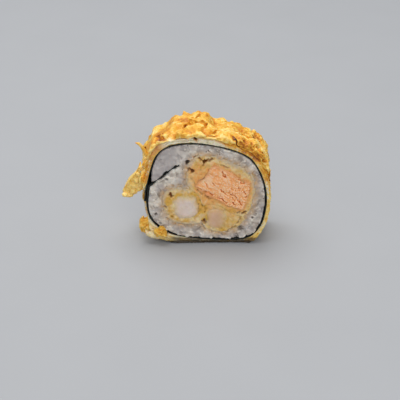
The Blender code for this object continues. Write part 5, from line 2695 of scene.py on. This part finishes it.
def main() -> None:
    """Builds the studio and the roll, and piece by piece."""
    logging.basicConfig(level=logging.INFO, format="%(message)s")
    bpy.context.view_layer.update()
    Studio().build()
    crust = Crust()
    crust.build()
    # The hanging flake's extra_brown of -0.5 paints it paler: painted light for the dimmer light on the
    # roll's left side.
    LooseScrap(
        "flake_left", "hanging_flake", crust, 81, bits=12, extra_brown=-0.5, toasted_rim=0.3,
        lumps=(
            (-30.0, -4.9, 18.6, 1.4), (-28.4, -4.8, 18.2, 1.4), (-26.9, -4.6, 20.0, 1.6),
            (-26.2, -4.6, 22.2, 1.7), (-25.4, -4.6, 24.6, 1.6), (-24.8, -4.6, 27.0, 1.5),
            (-24.2, -4.8, 29.6, 1.4), (-24.0, -4.6, 22.4, 1.3), (-23.6, -4.6, 25.6, 1.3),
            (-24.7, -4.6, 20.9, 1.2), (-23.4, -4.6, 21.3, 1.2), (-22.9, -4.8, 23.6, 1.2),
        ),
        edge=(
            (-31.6, 17.2), (-31.5, 18.4), (-30.2, 21.4), (-28.5, 24.4), (-26.6, 26.6), (-24.9, 28.4),
            (-24.0, 32.6), (-22.0, 32.0), (-22.4, 20.6), (-24.8, 19.8), (-27.2, 17.4), (-29.0, 16.6),
        ),
    ).build()
    LooseScrap(
        "clump_bottom_left", "low_clump", crust, 82, extra_brown=-0.12,
        lumps=(
            (-22.0, -7.6, 8.4, 1.5), (-21.8, -7.6, 6.2, 1.6), (-23.4, -7.4, 4.8, 1.3),
            (-21.6, -7.4, 10.0, 0.9),
        ),
        edge=((-23.0, 10.6), (-24.7, 9.4), (-25.0, 6.2), (-24.6, 2.6), (-18.0, 1.5), (-18.0, 10.4)),
    ).build()
    LooseScrap(
        "crumb_front", "front_crumb", crust, 83, bits=14, extra_brown=-0.02,
        lumps=(
            (-18.1, -10.0, 5.7, 1.7), (-16.3, -10.2, 6.3, 1.7), (-15.4, -10.1, 5.0, 1.3),
            (-17.4, -10.0, 4.4, 1.2),
        ),
    ).build()
    SeaweedSheet().build()
    RiceBed().build()
    fish = Salmon()
    fish.build()
    InnerBatter(
        "salmon_batter", "salmon_coat", fills=("salmon",), neighbour="crab_batter", fish_edge=fish.edge,
        cracks=(
            ((-6.3, 31.2), (-4.6, 30.4), 0.7, 0.9), ((-5.4, 29.4), (-4.9, 30.8), 0.5, 0.5),
            ((-2.4, 35.4), (-0.3, 34.2), 0.6, 0.8), ((2.6, 35.3), (-0.3, 34.2), 0.6, 0.7),
            ((-0.3, 34.2), (-0.8, 32.8), 0.5, 0.5), ((15.0, 13.3), (13.9, 12.7), 0.45, 0.8),
            ((12.8, 13.1), (11.9, 12.8), 0.4, 0.5), ((-1.0, 22.4), (0.4, 21.0), 0.5, 0.5),
            ((-2.9, 22.6), (-1.4, 21.0), 0.5, 0.45), ((-0.2, 20.2), (1.6, 18.9), 0.5, 0.4),
            ((-5.2, 27.6), (-4.2, 25.2), 0.45, 0.35), ((5.8, 32.8), (8.6, 31.4), 0.4, 0.35),
        ),
        stains=((-1.5, 33.0, 2.6, 0.3), (9.0, 14.5, 3.0, 0.4)),
        tan_spots=(
            (-3.0, 29.4, 4.4, 0.9), (-1.2, 22.4, 3.2, 0.95), (0.8, 17.8, 2.6, 0.9), (4.0, 17.4, 3.0, 0.6),
            (9.5, 14.4, 2.6, 0.6),
        ),
    ).build()
    left_heart, right_heart = (-7.3, 14.8, 4.3, 4.6, 0.5), (3.6, 10.6, 3.4, 4.4, 0.85)
    coat = InnerBatter(
        "crab_batter", "crab_coat", fills=("crab_leg_left", "crab_leg_right"), neighbour="salmon_batter",
        hearts=(left_heart, right_heart),
        cracks=(
            ((-13.0, 20.9), (-12.6, 20.2), 0.8, 1.0), ((-12.7, 11.2), (-12.2, 10.9), 0.6, 0.6),
            ((-1.2, 9.3), (-0.2, 9.8), 0.5, 0.7), ((-0.2, 9.8), (0.0, 8.6), 0.5, 0.9),
            ((-15.0, 15.6), (-14.6, 15.0), 0.5, 0.5), ((0.4, 20.0), (1.0, 16.8), 0.5, 0.6),
            ((-1.5, 19.6), (-1.3, 15.6), 0.4, 0.5), ((-0.3, 18.4), (0.0, 13.4), 0.4, 0.5),
            ((-2.6, 16.8), (-2.5, 13.4), 0.4, 0.4), ((14.0, 12.4), (12.0, 8.4), 0.45, 0.5),
            ((11.4, 7.4), (7.6, 4.4), 0.4, 0.45), ((1.6, 5.4), (3.4, 4.4), 0.4, 0.4),
        ),
        stains=(
            (-14.0, 17.9, 1.6, 1.0), (-12.6, 11.6, 1.0, 0.4), (-0.7, 17.8, 2.0, 1.1), (-0.8, 14.5, 1.8, 0.6),
            (10.5, 10.5, 3.4, 0.28), (7.0, 6.4, 2.6, 0.2), (-4.0, 8.0, 3.4, -0.4), (-9.5, 18.6, 2.4, -0.3),
        ),
        tan_spots=(
            (-0.6, 19.4, 2.8, 0.9), (-0.2, 15.7, 2.4, 0.75), (5.0, 15.6, 3.4, 0.5), (10.0, 13.6, 2.4, 0.45),
            (-0.9, 18.6, 1.5, -0.8), (-0.6, 16.0, 1.4, -0.7),
        ),
        golden_lines=(
            ((-13.4, 17.0), (-13.6, 13.6), (-12.0, 10.6), (-8.4, 9.4), (-4.2, 9.8)),
            (
                (-12.4, 19.4), (-10.2, 20.6), (-8.0, 19.8), (-4.0, 21.4), (-2.6, 19.4), (-2.3, 15.6),
                (-2.8, 12.0),
            ),
            ((-1.2, 20.6), (-0.4, 17.4), (-0.6, 14.0)), ((-0.6, 9.9), (1.2, 11.6)),
        ),
    )
    coat.build()
    CrabLeg("crab_leg_left", "crab_meat_left", heart=left_heart, coat=coat).build()
    CrabLeg(
        "crab_leg_right", "crab_meat_right", heart=right_heart, coat=coat,
        finish=CrabMeat(name="cooked_crab_meat_pink", clear="d0a986", white="dcb79b"),
    ).build()


if __name__ == "__main__":
    main()
